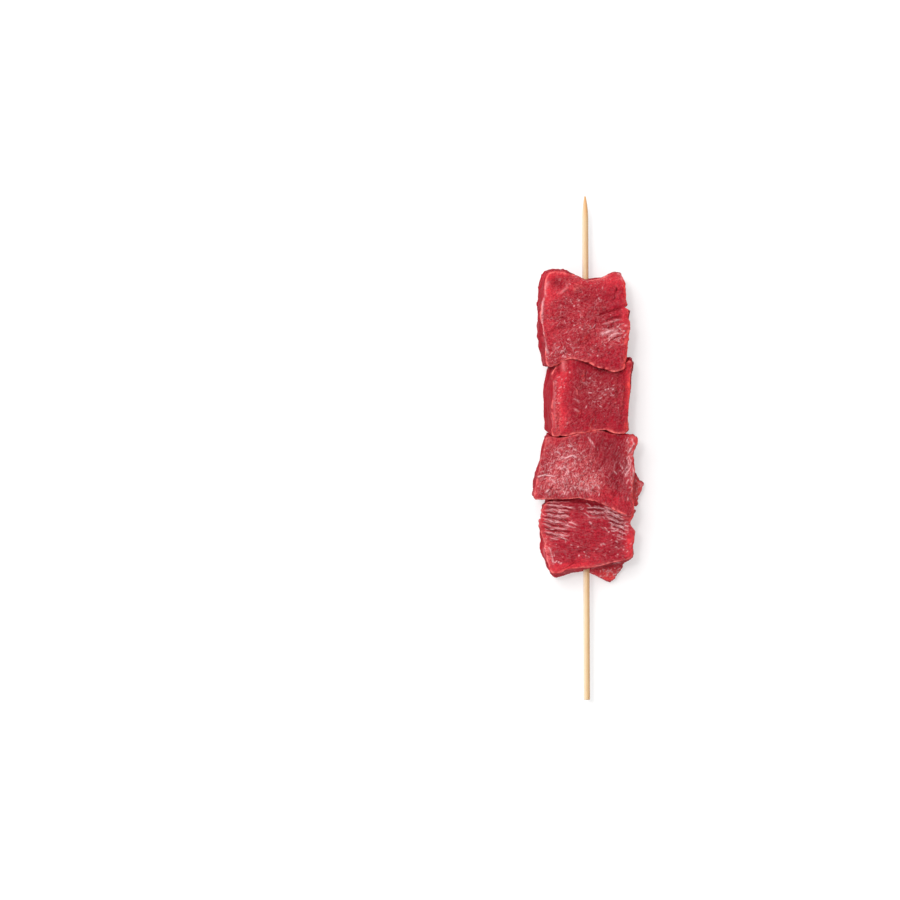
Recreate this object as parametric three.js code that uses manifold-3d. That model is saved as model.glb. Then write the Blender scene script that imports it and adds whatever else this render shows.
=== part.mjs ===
// Beef kebab skewer: four raw beef cubes pressed close together on a round, pointed bamboo stick.
// Millimetres. +Z is up and +Y runs along the stick towards its point. The origin lies on the
// surface that the cubes rest on, straight below the middle of the stick.
import * as THREE from "three";
import { mergeVertices } from "three/addons/utils/BufferGeometryUtils.js";
import Module from "manifold-3d";

// ---- Driving dimensions -------------------------------------------------------------------

// The stick: a 200 x 2.5 mm bamboo skewer, pointed at one end and sawn square at the other.
const STICK = {
  length: 200,
  radius: 1.25,
  axisHeight: 12.5,
  pointLength: 11,
  pointBelly: 0.3, // how far the point swells outside a straight cone, as a share of its taper
  pointSteps: 5,
  tipRadius: 0.4,
  sawnEdge: 0.2, // chamfer of the sawn end
  sides: 28,
};
const BORE_GAP = 0.3; // clearance between the stick and the meat round it
const BORE_SIDES = 20;

// The joints between neighbouring cubes, from the point's end: how far along the stick each one
// lies at the top, at even stations across it.
const STATIONS = { first: -20, step: 5 };
const JOINTS = [
  [28.6, 31.5, 34.5, 35.3, 33.8, 31.9, 30.3, 33, 36.5],
  [4.8, 4.9, 4.4, 5.2, 6.1, 6.8, 5.8, 5.6, 5.6],
  [-19.3, -19.7, -19.9, -20, -20.6, -21.9, -24.1, -25.8, -26.7],
];
const JOINT_TOP = 24; // the height that the stations above are given at
const JOINT_SLANT = 0.2; // each cube overlaps the next one by this much for every mm of height
const PRESS_GAP = 0.3; // clearance left between two cubes that press on each other
const PRESS_REACH = 1.4; // how deep the meat next to a joint is squeezed

// Each cube is cut with its own corners, seen from above: front is the sawn end's side, back
// the point's side. A side stands out from the straight line between its corners by the
// bulge, given at a quarter, a half and three quarters of the way, counter-clockwise. On each
// side the wall draws in from its widest line by the lean up to the top edge, and by the tuck
// down to the foot. The top rises by its slopes towards the right and the front. A lobe is a
// low flap of meat that stands out of a side. The grain's soft ribs run at an angle to the
// right. Cells are the squares of the top's mesh, across and along.
const CUBES = [
  {
    name: "beef_1",
    centre: [-1.2, 51],
    corners: {
      frontRight: [13.4, 29],
      backRight: [12.8, 69.3],
      backLeft: [-15.8, 69.9],
      frontLeft: [-15.5, 31.9],
    },
    bulge: {
      right: [2.4, 3.4, 2.4],
      back: [-1.7, -2.1, 0.8],
      left: [3.1, 3.9, 2.9],
      front: [-3.9, -3.8, -1.9],
    },
    lean: { right: 0.8, back: 0.8, left: 1.8, front: 0.4 },
    tuck: { right: 1.6, back: 2.2, left: 0.8, front: 0.6 },
    height: 25.6,
    slope: { right: 0.035, front: 0.03 },
    crown: 1.1,
    lobes: [],
    grain: { angle: 22, pitch: 5.2, depth: 0.32 },
    folds: null,
    seed: 11,
    cells: [18, 18],
  },
  {
    name: "beef_2",
    centre: [1.2, 21],
    corners: {
      frontRight: [14.9, 5.6],
      backRight: [17.4, 35.2],
      backLeft: [-14.7, 32.2],
      frontLeft: [-14.6, 4.1],
    },
    bulge: {
      right: [1.3, 1.4, 1.1],
      back: [0.6, 3.6, 4.6],
      left: [1.6, 1.7, 1.8],
      front: [-0.6, -1.7, -1.9],
    },
    lean: { right: 1.2, back: 0.9, left: 2.6, front: 0.4 },
    tuck: { right: 2.2, back: 0.8, left: 0.7, front: 0.6 },
    height: 24.4,
    slope: { right: -0.03, front: 0.055 },
    crown: 0.9,
    lobes: [],
    grain: { angle: 78, pitch: 6, depth: 0.25 },
    folds: null,
    seed: 23,
    cells: [18, 16],
  },
  {
    name: "beef_3",
    centre: [0, -8.6],
    corners: {
      frontRight: [18, -27],
      backRight: [19.9, 3.6],
      backLeft: [-15, 5.2],
      frontLeft: [-20.8, -20.3],
    },
    bulge: {
      right: [-0.2, -0.5, -0.6],
      back: [3.2, 5.4, 3.6],
      left: [1.3, 1.9, 1.5],
      front: [-1.8, -3.2, -1.9],
    },
    lean: { right: 0.5, back: 0.9, left: 0.9, front: 0.4 },
    tuck: { right: 1, back: 0.8, left: 2.4, front: 0.6 },
    height: 25.8,
    slope: { right: -0.04, front: 0.04 },
    crown: 1,
    lobes: [{ side: "right", at: 0.36, spread: 0.25, reach: 4.5, bluntness: 2.2, top: 10 }],
    grain: { angle: 66, pitch: 4.6, depth: 0.34 },
    folds: null,
    seed: 37,
    cells: [18, 18],
  },
  {
    name: "beef_4",
    centre: [0.4, -35.2],
    corners: {
      frontRight: [17.8, -44.2],
      backRight: [18, -23],
      backLeft: [-16.8, -21.5],
      frontLeft: [-13.4, -50.4],
    },
    bulge: {
      right: [1, 0.9, -0.2],
      back: [2.6, 5.4, 5.3],
      left: [3, 3, 2.4],
      front: [0.4, 0.9, 0.5],
    },
    lean: { right: 1, back: 0.9, left: 1.2, front: 1.6 },
    tuck: { right: 1.8, back: 0.8, left: 1.4, front: 1.2 },
    height: 24.6,
    slope: { right: 0.03, front: -0.03 },
    crown: 1.2,
    lobes: [{ side: "front", at: 0.66, spread: 0.24, reach: 8, bluntness: 1.2, top: 8.5 }],
    grain: { angle: -12, pitch: 5, depth: 0.25 },
    // Folds gather beside the back joint. The run is how far they reach from it.
    folds: {
      pitch: 2.1,
      depth: 0.95,
      run: { left: 15, middle: 5, right: 9 },
      leftEndsAt: -7,
      rightStartsAt: 6,
      slant: { near: 0.06, far: 0.42 }, // how steeply they turn away from the joint
    },
    seed: 53,
    cells: [22, 46],
  },
];

// The edges and the unevenness that all the cubes share.
const FOOT_RADIUS = 2.6; // rounding between the flat underside and the wall
const BROW_RADIUS = 1.7; // rounding between the wall and the top
const WIDEST = 0.36; // share of the height at which a cube is widest
const RINGS = { foot: 3, wall: 5, brow: 3 };
const LOBE_EDGE = 3.5; // height over which a low lobe blends back into the wall
const CORNER_BLEND = 0.25; // share of a side over which one side's wall turns into the next
const FOLD_CROWDING = 0.45; // how much a folded cube's mesh crowds towards its back
const HOLLOW = { wavelength: 16, height: 0.45 }; // of the walls, away from their widest line
const SWELL = { wavelength: 17, height: 0.3 };
const LUMP = { wavelength: 7.5, height: 0.12 };
const GRAIN_BEND = { wavelength: 14, height: 0.9 };
const FLAT_BELOW = 0.4; // height under which the meat lies flat and takes no relief
const RELIEF_FULL_FROM = 4; // height from which the relief has its full size

const SIDES = ["right", "back", "left", "front"];
const CORNERS = ["frontRight", "backRight", "backLeft", "frontLeft"];

// ---- Materials ----------------------------------------------------------------------------

const rawBeef = new THREE.MeshStandardMaterial({ color: 0xad3842, roughness: 0.42, metalness: 0 });
const bamboo = new THREE.MeshStandardMaterial({ color: 0xefcfa6, roughness: 0.6, metalness: 0 });

// ---- Small helpers ------------------------------------------------------------------------

const { clamp, degToRad, lerp, smoothstep } = THREE.MathUtils;

/** A source of seeded draws between 0 and 1, the same on every run. */
function seededDraws(seed) {
  let state = seed;
  return () => {
    state = (state * 1664525 + 1013904223) % 2 ** 32;
    return state / 2 ** 32;
  };
}

/** An uneven swell in space: waves in random directions, about `height` high together. */
function swell(seed, { wavelength, height }) {
  const draw = seededDraws(seed);
  const waves = Array.from({ length: 9 }, () => {
    const direction = new THREE.Vector3(draw() - 0.5, draw() - 0.5, draw() - 0.5).normalize();
    const length = wavelength * lerp(0.7, 1.4, draw());
    return { vector: direction.multiplyScalar((2 * Math.PI) / length), phase: 2 * Math.PI * draw() };
  });
  const share = height / Math.sqrt(waves.length / 2);
  return (point) => share * waves.reduce((sum, w) => sum + Math.sin(w.vector.dot(point) + w.phase), 0);
}

/** Ribs with round backs and narrow valleys: 1 on a back, 0 in a valley. */
function ribs(place, pitch) {
  return Math.abs(Math.sin((Math.PI * place) / pitch));
}

/** Value of a list given at even stations, read smoothly in between. */
function alongStations(values, x) {
  const at = clamp((x - STATIONS.first) / STATIONS.step, 0, values.length - 1);
  const i = Math.min(Math.floor(at), values.length - 2);
  const before = values[Math.max(i - 1, 0)];
  const after = values[Math.min(i + 2, values.length - 1)];
  const t = at - i;
  const slopeIn = (values[i + 1] - before) / 2;
  const slopeOut = (after - values[i]) / 2;
  const rise = values[i + 1] - values[i];
  const square = 3 * rise - 2 * slopeIn - slopeOut;
  const cube = slopeIn + slopeOut - 2 * rise;
  return values[i] + slopeIn * t + square * t ** 2 + cube * t ** 3;
}

/** Where a joint lies along the stick, at a place across it and a height. */
function jointAt(joint, x, z) {
  return alongStations(JOINTS[joint], x) + JOINT_SLANT * (JOINT_TOP - z);
}

/** A distance before a joint (negative) or past it, squeezed so that it never gets past. */
function squeeze(distance) {
  const past = distance + PRESS_GAP / 2;
  if (past < -PRESS_REACH) return distance;
  return -PRESS_REACH * Math.exp(-(past + PRESS_REACH) / PRESS_REACH) - PRESS_GAP / 2;
}

// ---- The outline and the walls of a cube --------------------------------------------------

/** The widest outline of a cube as a closed curve, a quarter of its length for each side. */
function widestOutline(cube) {
  const points = SIDES.flatMap((side, i) => {
    const from = new THREE.Vector3(...cube.corners[CORNERS[i]], 0);
    const to = new THREE.Vector3(...cube.corners[CORNERS[(i + 1) % 4]], 0);
    const along = to.clone().sub(from).normalize();
    const outward = new THREE.Vector3(along.y, -along.x, 0);
    const offsets = [0, ...cube.bulge[side]];
    return offsets.map((offset, k) => from.clone().lerp(to, k / 4).addScaledVector(outward, offset));
  });
  return new THREE.CatmullRomCurve3(points, true, "centripetal");
}

/** The wall at a turn of 0 to 4 round a cube: its widest point, its side, lean and tuck. */
function wallAt(cube, outline, turn) {
  const u = turn % 4;
  const point = outline.getPoint(u / 4);
  const tangent = outline.getTangent(u / 4);
  const side = Math.floor(u);
  const t = u - side;
  const near = t < 0.5 ? (side + 3) % 4 : (side + 1) % 4;
  const share = 0.5 * (1 - smoothstep(Math.min(t, 1 - t), 0, CORNER_BLEND));
  const blend = (sizes) => lerp(sizes[SIDES[side]], sizes[SIDES[near]], share);
  // Moving 1 along this spoke moves the wall by 1 mm across its own direction.
  const spoke = point.clone().sub(new THREE.Vector3(...cube.centre, 0));
  spoke.divideScalar(spoke.dot(new THREE.Vector3(tangent.y, -tangent.x, 0).normalize()));
  return { point, spoke, lean: blend(cube.lean), tuck: blend(cube.tuck), side: SIDES[side], t };
}

/** How far the low lobes of a cube stand out of its wall at a place and a height. */
function lobeReach(cube, wall, z) {
  return cube.lobes.reduce((reach, lobe) => {
    if (wall.side !== lobe.side) return reach;
    const away = Math.min(Math.abs(wall.t - lobe.at) / lobe.spread, 1);
    const low = 1 - smoothstep(z, lobe.top - LOBE_EDGE, lobe.top + LOBE_EDGE);
    return reach + lobe.reach * low * (1 - away ** lobe.bluntness);
  }, 0);
}

/** Height of the top over a place, before the crown is added. */
function topHeight(cube, x, y) {
  const rise = cube.slope.right * (x - cube.centre[0]) - cube.slope.front * (y - cube.centre[1]);
  return cube.height + rise;
}

/** One column of a wall, from the flat underside up to where the top begins. */
function wallColumn(cube, wall, hollow) {
  const top = topHeight(cube, wall.point.x, wall.point.y);
  const rows = [];
  for (let k = 0; k <= RINGS.foot; k++) {
    const a = (k / RINGS.foot) * (Math.PI / 2);
    rows.push({ z: FOOT_RADIUS * (1 - Math.cos(a)), inset: wall.tuck + FOOT_RADIUS * (1 - Math.sin(a)) });
  }
  for (let k = 1; k <= RINGS.wall; k++) {
    const share = k / RINGS.wall;
    const z = lerp(FOOT_RADIUS, top - BROW_RADIUS, share);
    const below = Math.max(1 - share / WIDEST, 0);
    const above = Math.max((share - WIDEST) / (1 - WIDEST), 0);
    const betweenEdges = (4 * share * (1 - share)) ** 2;
    const hollowed = Math.max(hollow(wall.point.clone().setZ(z)) + HOLLOW.height, 0);
    const drawnIn = wall.tuck * below ** 2 + wall.lean * above ** 1.6;
    rows.push({ z, inset: drawnIn + hollowed * betweenEdges * smoothstep(above + below, 0, 0.5) });
  }
  for (let k = 1; k <= RINGS.brow; k++) {
    const a = (k / RINGS.brow) * (Math.PI / 2);
    const inset = wall.lean + BROW_RADIUS * (1 - Math.cos(a));
    rows.push({ z: top - BROW_RADIUS * (1 - Math.sin(a)), inset });
  }
  return rows.map(({ z, inset }) => {
    return wall.point.clone().addScaledVector(wall.spoke, lobeReach(cube, wall, z) - inset).setZ(z);
  });
}

// ---- The skin of a cube -------------------------------------------------------------------

/** A skin under construction: its points and its triangles, counter-clockwise seen from outside. */
class Skin {
  positions = [];
  faces = [];

  /** Adds a point and returns its number. */
  point({ x, y, z }) {
    return this.positions.push(x, y, z) / 3 - 1;
  }

  /** Joins two closed rings of points, the second above the first. */
  band(low, high) {
    low.forEach((a, k) => {
      const next = (k + 1) % low.length;
      this.faces.push(a, low[next], high[next], a, high[next], high[k]);
    });
  }

  /** Closes the underside from its ring to a point in the middle. */
  closeBelow(ring, middle) {
    ring.forEach((from, k) => this.faces.push(middle, ring[(k + 1) % ring.length], from));
  }

  /** Fills a grid of points, columns from left to right, with squares cut along their spokes. */
  fillGrid(grid) {
    for (let i = 0; i + 1 < grid.length; i++) {
      for (let j = 0; j + 1 < grid[i].length; j++) {
        const [a, b, c, d] = [grid[i][j], grid[i + 1][j], grid[i + 1][j + 1], grid[i][j + 1]];
        const sameHalf = i < (grid.length - 1) / 2 === j < (grid[i].length - 1) / 2;
        this.faces.push(...(sameHalf ? [a, b, c, a, c, d] : [a, b, d, b, c, d]));
      }
    }
  }

  /** The finished skin as an indexed geometry. */
  geometry() {
    const made = new THREE.BufferGeometry();
    made.setAttribute("position", new THREE.Float32BufferAttribute(this.positions, 3));
    made.setIndex(this.faces);
    made.computeVertexNormals();
    return made;
  }
}

/** The turn round the outline, 0 to 4, of a place on the edge of the square from -1 to 1. */
function turnTowards(u, v) {
  if (u >= Math.abs(v)) return (v + 1) / 2;
  if (v >= Math.abs(u)) return 1 + (1 - u) / 2;
  if (-u >= Math.abs(v)) return 2 + (1 - v) / 2;
  return 3 + (u + 1) / 2;
}

/** Stations of the top's grid, -1 to 1: even across, and crowded to the back along a folded cube. */
function gridStations(cube) {
  const crowding = cube.folds ? FOLD_CROWDING : 0;
  const evenSteps = (count) => Array.from({ length: count + 1 }, (_, k) => k / count);
  const [across, along] = cube.cells;
  return {
    columns: evenSteps(across).map((t) => 2 * t - 1),
    rows: evenSteps(along).map((t) => 2 * (t + crowding * t * (1 - t)) - 1),
  };
}

/** A point of the top inside its rim: u and v run from -1 to 1 across it and along it. */
function topPoint(cube, outline, u, v) {
  const reach = Math.max(Math.abs(u), Math.abs(v));
  const wall = wallAt(cube, outline, reach > 0 ? turnTowards(u / reach, v / reach) : 0);
  const rim = wall.point.clone().addScaledVector(wall.spoke, -wall.lean - BROW_RADIUS);
  const x = lerp(cube.centre[0], rim.x, reach);
  const y = lerp(cube.centre[1], rim.y, reach);
  return new THREE.Vector3(x, y, topHeight(cube, x, y) + cube.crown * (1 - reach ** 2));
}

/** The smooth skin of a cube: a flat underside, its walls, and a top gridded along its outline. */
function cubeSkin(cube) {
  const outline = widestOutline(cube);
  const { columns, rows } = gridStations(cube);
  const [across, along] = cube.cells;
  const around = 2 * (across + along);
  // The rim's places in the grid, once round from the front right corner.
  const rim = [];
  for (let j = 0; j < along; j++) rim.push([across, j]);
  for (let i = across; i > 0; i--) rim.push([i, along]);
  for (let j = along; j > 0; j--) rim.push([0, j]);
  for (let i = 0; i < across; i++) rim.push([i, 0]);

  const skin = new Skin();
  const hollow = swell(cube.seed + 3, HOLLOW);
  const walls = rim.map(([i, j]) => {
    const wall = wallAt(cube, outline, turnTowards(columns[i], rows[j]));
    return wallColumn(cube, wall, hollow).map((point) => skin.point(point));
  });
  const rings = walls[0].map((_, k) => walls.map((column) => column[k]));
  rings.slice(1).forEach((high, k) => skin.band(rings[k], high));
  skin.closeBelow(rings[0], skin.point(new THREE.Vector3(...cube.centre, 0)));

  const grid = columns.map(() => new Array(rows.length));
  for (let k = 0; k < around; k++) grid[rim[k][0]][rim[k][1]] = rings.at(-1)[k];
  for (let i = 1; i < across; i++) {
    for (let j = 1; j < along; j++) grid[i][j] = skin.point(topPoint(cube, outline, columns[i], rows[j]));
  }
  skin.fillGrid(grid);
  return skin.geometry();
}

// ---- Relief and pressing ------------------------------------------------------------------

/** Depth of the folds beside a cube's back joint, 0 or below. */
function foldDepth(cube, joint, point) {
  const { pitch, depth, run, leftEndsAt, rightStartsAt, slant } = cube.folds;
  const away = jointAt(joint, point.x, JOINT_TOP) - point.y;
  const onLeft = 1 - smoothstep(point.x, leftEndsAt - 3, leftEndsAt + 4);
  const onRight = smoothstep(point.x, rightStartsAt - 3, rightStartsAt + 4);
  const runHere = lerp(lerp(run.middle, run.left, onLeft), run.right, onRight);
  const fade = 1 - smoothstep(away, runHere * 0.6, runHere);
  const slantHere = lerp(slant.near, slant.far, smoothstep(away, 0, run.left));
  const slanted = away - slantHere * (point.x - cube.corners.backLeft[0]);
  return depth * fade * (ribs(slanted, pitch) - 1);
}

/** Relief of a cube's skin: swells, lumps, the grain's soft ribs and the folds. */
function reliefOf(cube, index) {
  const slow = swell(cube.seed, SWELL);
  const quick = swell(cube.seed + 1, LUMP);
  const bend = swell(cube.seed + 2, GRAIN_BEND);
  const angle = degToRad(cube.grain.angle);
  return (point) => {
    const across = point.y * Math.cos(angle) - point.x * Math.sin(angle) + bend(point);
    const rib = cube.grain.depth * (ribs(across, cube.grain.pitch) - 0.6);
    const folds = cube.folds ? foldDepth(cube, index - 1, point) : 0;
    return slow(point) + quick(point) + rib + folds;
  };
}

/** Moves every point of a skin by its relief, then presses it against the joints beside it. */
function shapeSkin(skin, cube, index) {
  const relief = reliefOf(cube, index);
  const position = skin.getAttribute("position");
  const normal = skin.getAttribute("normal");
  const point = new THREE.Vector3();
  const outward = new THREE.Vector3();
  for (let k = 0; k < position.count; k++) {
    point.fromBufferAttribute(position, k);
    outward.fromBufferAttribute(normal, k);
    const share = smoothstep(point.z, FLAT_BELOW, RELIEF_FULL_FROM);
    point.addScaledVector(outward, share * relief(point));
    if (index > 0) {
      const back = jointAt(index - 1, point.x, point.z);
      point.y = back + squeeze(point.y - back);
    }
    if (index < JOINTS.length) {
      const front = jointAt(index, point.x, point.z);
      point.y = front - squeeze(front - point.y);
    }
    position.setXYZ(k, point.x, point.y, point.z);
  }
}

// ---- Solids -------------------------------------------------------------------------------

const wasm = await Module();
wasm.setup();

/** A closed three.js geometry as a solid that can be cut. */
function solidOf(geometry) {
  const bare = geometry.clone();
  for (const name of ["normal", "uv"]) bare.deleteAttribute(name);
  const merged = mergeVertices(bare, 1e-4);
  return new wasm.Manifold(
    new wasm.Mesh({
      numProp: 3,
      vertProperties: merged.attributes.position.array,
      triVerts: new Uint32Array(merged.index.array),
    }),
  );
}

/** A solid back as a three.js geometry. */
function geometryOf(solid) {
  const mesh = solid.getMesh();
  const geometry = new THREE.BufferGeometry();
  geometry.setAttribute("position", new THREE.BufferAttribute(mesh.vertProperties, 3));
  geometry.setIndex(new THREE.BufferAttribute(mesh.triVerts, 1));
  geometry.computeVertexNormals();
  return geometry;
}

/** The hole that the stick takes up in the meat, a little wider than the stick. */
function stickBore() {
  const radius = STICK.radius + BORE_GAP;
  const bore = new THREE.CylinderGeometry(radius, radius, STICK.length, BORE_SIDES);
  return solidOf(bore.translate(0, 0, STICK.axisHeight));
}

/** The stick's outline from its sawn end to its point: distance from the axis, place along it. */
function stickProfile() {
  const { length, radius, pointLength, pointBelly, pointSteps, tipRadius, sawnEdge } = STICK;
  const profile = [[0, 0], [radius - sawnEdge, 0], [radius, sawnEdge]];
  for (let k = 0; k <= pointSteps; k++) {
    const t = k / pointSteps;
    const taper = (radius - tipRadius) * (t - pointBelly * t * (1 - t));
    profile.push([radius - taper, length - pointLength + t * (pointLength - tipRadius / 2)]);
  }
  profile.push([tipRadius / 2, length], [0, length]);
  return profile.map(([r, y]) => new THREE.Vector2(r, y));
}

// ---- Assembly -----------------------------------------------------------------------------

const group = new THREE.Group();

const stick = new THREE.Mesh(new THREE.LatheGeometry(stickProfile(), STICK.sides), bamboo);
stick.name = "skewer";
stick.position.set(0, -STICK.length / 2, STICK.axisHeight);
group.add(stick);

const bore = stickBore();
CUBES.forEach((cube, index) => {
  const skin = cubeSkin(cube);
  shapeSkin(skin, cube, index);
  const beef = new THREE.Mesh(geometryOf(solidOf(skin).subtract(bore)), rawBeef);
  beef.name = cube.name;
  group.add(beef);
});

export default group;
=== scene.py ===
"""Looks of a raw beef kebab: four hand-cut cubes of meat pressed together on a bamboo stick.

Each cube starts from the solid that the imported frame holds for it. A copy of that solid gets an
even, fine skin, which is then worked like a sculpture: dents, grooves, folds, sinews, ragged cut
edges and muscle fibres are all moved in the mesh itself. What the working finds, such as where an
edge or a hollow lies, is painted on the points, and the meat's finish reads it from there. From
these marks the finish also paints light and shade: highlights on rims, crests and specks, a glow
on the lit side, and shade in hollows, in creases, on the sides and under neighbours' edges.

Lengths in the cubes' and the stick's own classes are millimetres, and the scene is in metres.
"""

import logging
import math
from dataclasses import dataclass, field
from enum import Enum

import bpy
import numpy as np
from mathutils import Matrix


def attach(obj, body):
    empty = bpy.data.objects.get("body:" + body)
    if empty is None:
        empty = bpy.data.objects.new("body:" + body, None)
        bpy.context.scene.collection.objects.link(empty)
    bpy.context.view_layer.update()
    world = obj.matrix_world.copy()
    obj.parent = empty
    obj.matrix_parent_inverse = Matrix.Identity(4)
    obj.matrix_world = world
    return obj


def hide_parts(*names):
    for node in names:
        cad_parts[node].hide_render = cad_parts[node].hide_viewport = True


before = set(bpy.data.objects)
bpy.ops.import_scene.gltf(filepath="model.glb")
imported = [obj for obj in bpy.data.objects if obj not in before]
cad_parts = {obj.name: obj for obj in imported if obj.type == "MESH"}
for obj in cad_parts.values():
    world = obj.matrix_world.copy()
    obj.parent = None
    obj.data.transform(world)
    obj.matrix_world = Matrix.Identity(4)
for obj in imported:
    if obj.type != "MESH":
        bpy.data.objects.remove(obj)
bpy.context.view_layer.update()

MM = 0.001
STICK_NODE = "skewer"
STICK_AXIS_HEIGHT = 12.5
STICK_RADIUS = 1.25
HOLE_RADIUS = 1.55

log = logging.getLogger("kebab")

Plan = tuple[float, float]
Colour = tuple[float, float, float, float]
Socket = bpy.types.NodeSocket


def smooth_step(values: np.ndarray, low: float, high: float) -> np.ndarray:
    """Rises smoothly from 0 at low to 1 at high.

    Args:
        values: The numbers to look up.
        low: Where the rise starts.
        high: Where the rise ends.

    Returns:
        The risen values, each from 0 to 1.
    """
    share = np.clip((values - low) / (high - low), 0.0, 1.0)
    return share * share * (3.0 - 2.0 * share)


def linear(red: int, green: int, blue: int) -> Colour:
    """Turns a screen colour into the linear colour that shaders work in.

    Args:
        red: Red, from 0 to 255.
        green: Green, from 0 to 255.
        blue: Blue, from 0 to 255.

    Returns:
        The linear colour with full opacity.
    """
    channels = []
    for value in (red, green, blue):
        share = value / 255.0
        channels.append(share / 12.92 if share <= 0.04045 else ((share + 0.055) / 1.055) ** 2.4)
    return (channels[0], channels[1], channels[2], 1.0)


@dataclass(frozen=True)
class Lumps:
    """One pattern of lumps, read from a noise.

    Attributes:
        shift: Where in the noise it is read, so that no two patterns are alike.
        size: The width of one lump.
        height: How far the lumps stand out.
    """

    shift: float
    size: float
    height: float = 1.0


class GradientNoise:
    """Seeded gradient noise in three dimensions, worked out for many points at once."""

    TABLE = 256
    GAIN = 1.6
    LAYER_SHIFT = 17.3

    def __init__(self, seed: int) -> None:
        """Draws the lattice and turns it, so that none of its lines shows along an axis.

        Args:
            seed: Fixes the random draws.
        """
        draws = np.random.default_rng(seed)
        self.order = draws.permutation(self.TABLE)
        directions = draws.normal(size=(self.TABLE, 3))
        self.directions = directions / np.linalg.norm(directions, axis=1, keepdims=True)
        self.turn = np.linalg.qr(draws.normal(size=(3, 3)))[0]

    def _corner(self, cell: np.ndarray, step: tuple[int, int, int]) -> np.ndarray:
        """Gives each point's gradient at one corner of its lattice cell.

        Args:
            cell: The whole-number cell of each point.
            step: Which corner, 0 or 1 on each axis.

        Returns:
            One unit vector for each point.
        """
        x, y, z = ((cell[:, axis] + step[axis]) % self.TABLE for axis in range(3))
        mixed = (self.order[(self.order[x] + y) % self.TABLE] + z) % self.TABLE
        return self.directions[self.order[mixed]]

    def at(self, points: np.ndarray, size: float) -> np.ndarray:
        """Looks the noise up.

        Args:
            points: The places, one row each.
            size: The width of one lump of the noise, in the points' units.

        Returns:
            One value for each point, mostly from -1 to 1.
        """
        scaled = points @ self.turn / size
        cell = np.floor(scaled).astype(np.int64)
        inside = scaled - cell
        fade = inside ** 3 * (inside * (inside * 6.0 - 15.0) + 10.0)
        found = np.zeros(len(points))
        for step in np.ndindex(2, 2, 2):
            offset = inside - np.array(step)
            weight = np.prod(np.where(np.array(step) == 1, fade, 1.0 - fade), axis=1)
            found += weight * np.einsum("ij,ij->i", self._corner(cell, step), offset)
        return found * self.GAIN

    def lumps(self, points: np.ndarray, *patterns: Lumps) -> np.ndarray:
        """Adds patterns of lumps up.

        Args:
            points: The places, one row each.
            patterns: The patterns.

        Returns:
            The sum at each place.
        """
        return sum(pattern.height * self.at(points + pattern.shift, pattern.size) for pattern in patterns)

    def layered(self, points: np.ndarray, size: float, layers: int) -> np.ndarray:
        """Adds finer and weaker layers of the noise.

        Args:
            points: The places, one row each.
            size: The lump width of the coarsest layer.
            layers: How many layers, each half as coarse and half as strong as the last.

        Returns:
            One value for each point.
        """
        found = np.zeros(len(points))
        for layer in range(layers):
            found += 0.5 ** layer * self.at(points + self.LAYER_SHIFT * layer, size * 0.5 ** layer)
        return found


def along_line(plan: np.ndarray, line: tuple[Plan, ...]) -> tuple[np.ndarray, np.ndarray]:
    """Measures how far points lie from a bent line, seen from above.

    Args:
        plan: The points' x and y.
        line: The corners of the line.

    Returns:
        The distance to the line, and the share of the way along it, from 0 to 1.
    """
    corners = np.array(line)
    runs = np.linalg.norm(np.diff(corners, axis=0), axis=1)
    passed = np.concatenate([[0.0], np.cumsum(runs)])
    nearest = np.full(len(plan), np.inf)
    share = np.zeros(len(plan))
    for start, end, run, before in zip(corners[:-1], corners[1:], runs, passed[:-1]):
        offset = plan - start
        walked = np.clip(offset @ (end - start) / run ** 2, 0.0, 1.0)
        distance = np.linalg.norm(offset - walked[:, None] * (end - start), axis=1)
        closer = distance < nearest
        nearest[closer] = distance[closer]
        share[closer] = (before + walked[closer] * run) / passed[-1]
    return nearest, share


@dataclass(frozen=True)
class Patch:
    """A soft-edged oval patch of a cube, seen from above, such as a hollow, a film or a colour.

    Attributes:
        centre: Its middle.
        reach: Its half-widths along and across its own axis.
        strength: How strong it is in its middle.
        turn: The angle of its axis from +X, in degrees.
    """

    centre: Plan
    reach: tuple[float, float]
    strength: float
    turn: float = 0.0

    def cover(self, plan: np.ndarray) -> np.ndarray:
        """Works out how strong the patch is at each point.

        Args:
            plan: The points' x and y.

        Returns:
            The strength at each point.
        """
        angle = math.radians(self.turn)
        offset = plan - np.array(self.centre)
        along = offset @ np.array([math.cos(angle), math.sin(angle)]) / self.reach[0]
        across = offset @ np.array([-math.sin(angle), math.cos(angle)]) / self.reach[1]
        return self.strength * np.exp(-(along ** 2 + across ** 2))


def total(layers: tuple[Patch, ...], plan: np.ndarray) -> np.ndarray:
    """Adds the strengths of patches up at each point's x and y."""
    return sum((patch.cover(plan) for patch in layers), np.zeros(len(plan)))


@dataclass(frozen=True)
class Groove:
    """A crease along a line over the top of a cube, or a ridge where its depth is negative.

    Attributes:
        line: Its corners, seen from above.
        width: Its half-width.
        depth: How deep it is at its middle.
        fade: The share of its length over which each end runs out.
        pale: How pale its line is painted, from 0 to 1: pale tissue, and on crests and ridges a painted
            highlight.
    """

    line: tuple[Plan, ...]
    width: float
    depth: float
    fade: float = 0.25
    pale: float = 0.0

    def shape(self, plan: np.ndarray) -> np.ndarray:
        """Works out how near each point is to the line.

        Args:
            plan: The points' x and y.

        Returns:
            1 on the line, falling to 0 beside it and towards its ends.
        """
        distance, share = along_line(plan, self.line)
        ends = smooth_step(np.minimum(share, 1.0 - share), -0.01, self.fade)
        return ends * np.exp(-(distance / self.width) ** 2)


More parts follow.
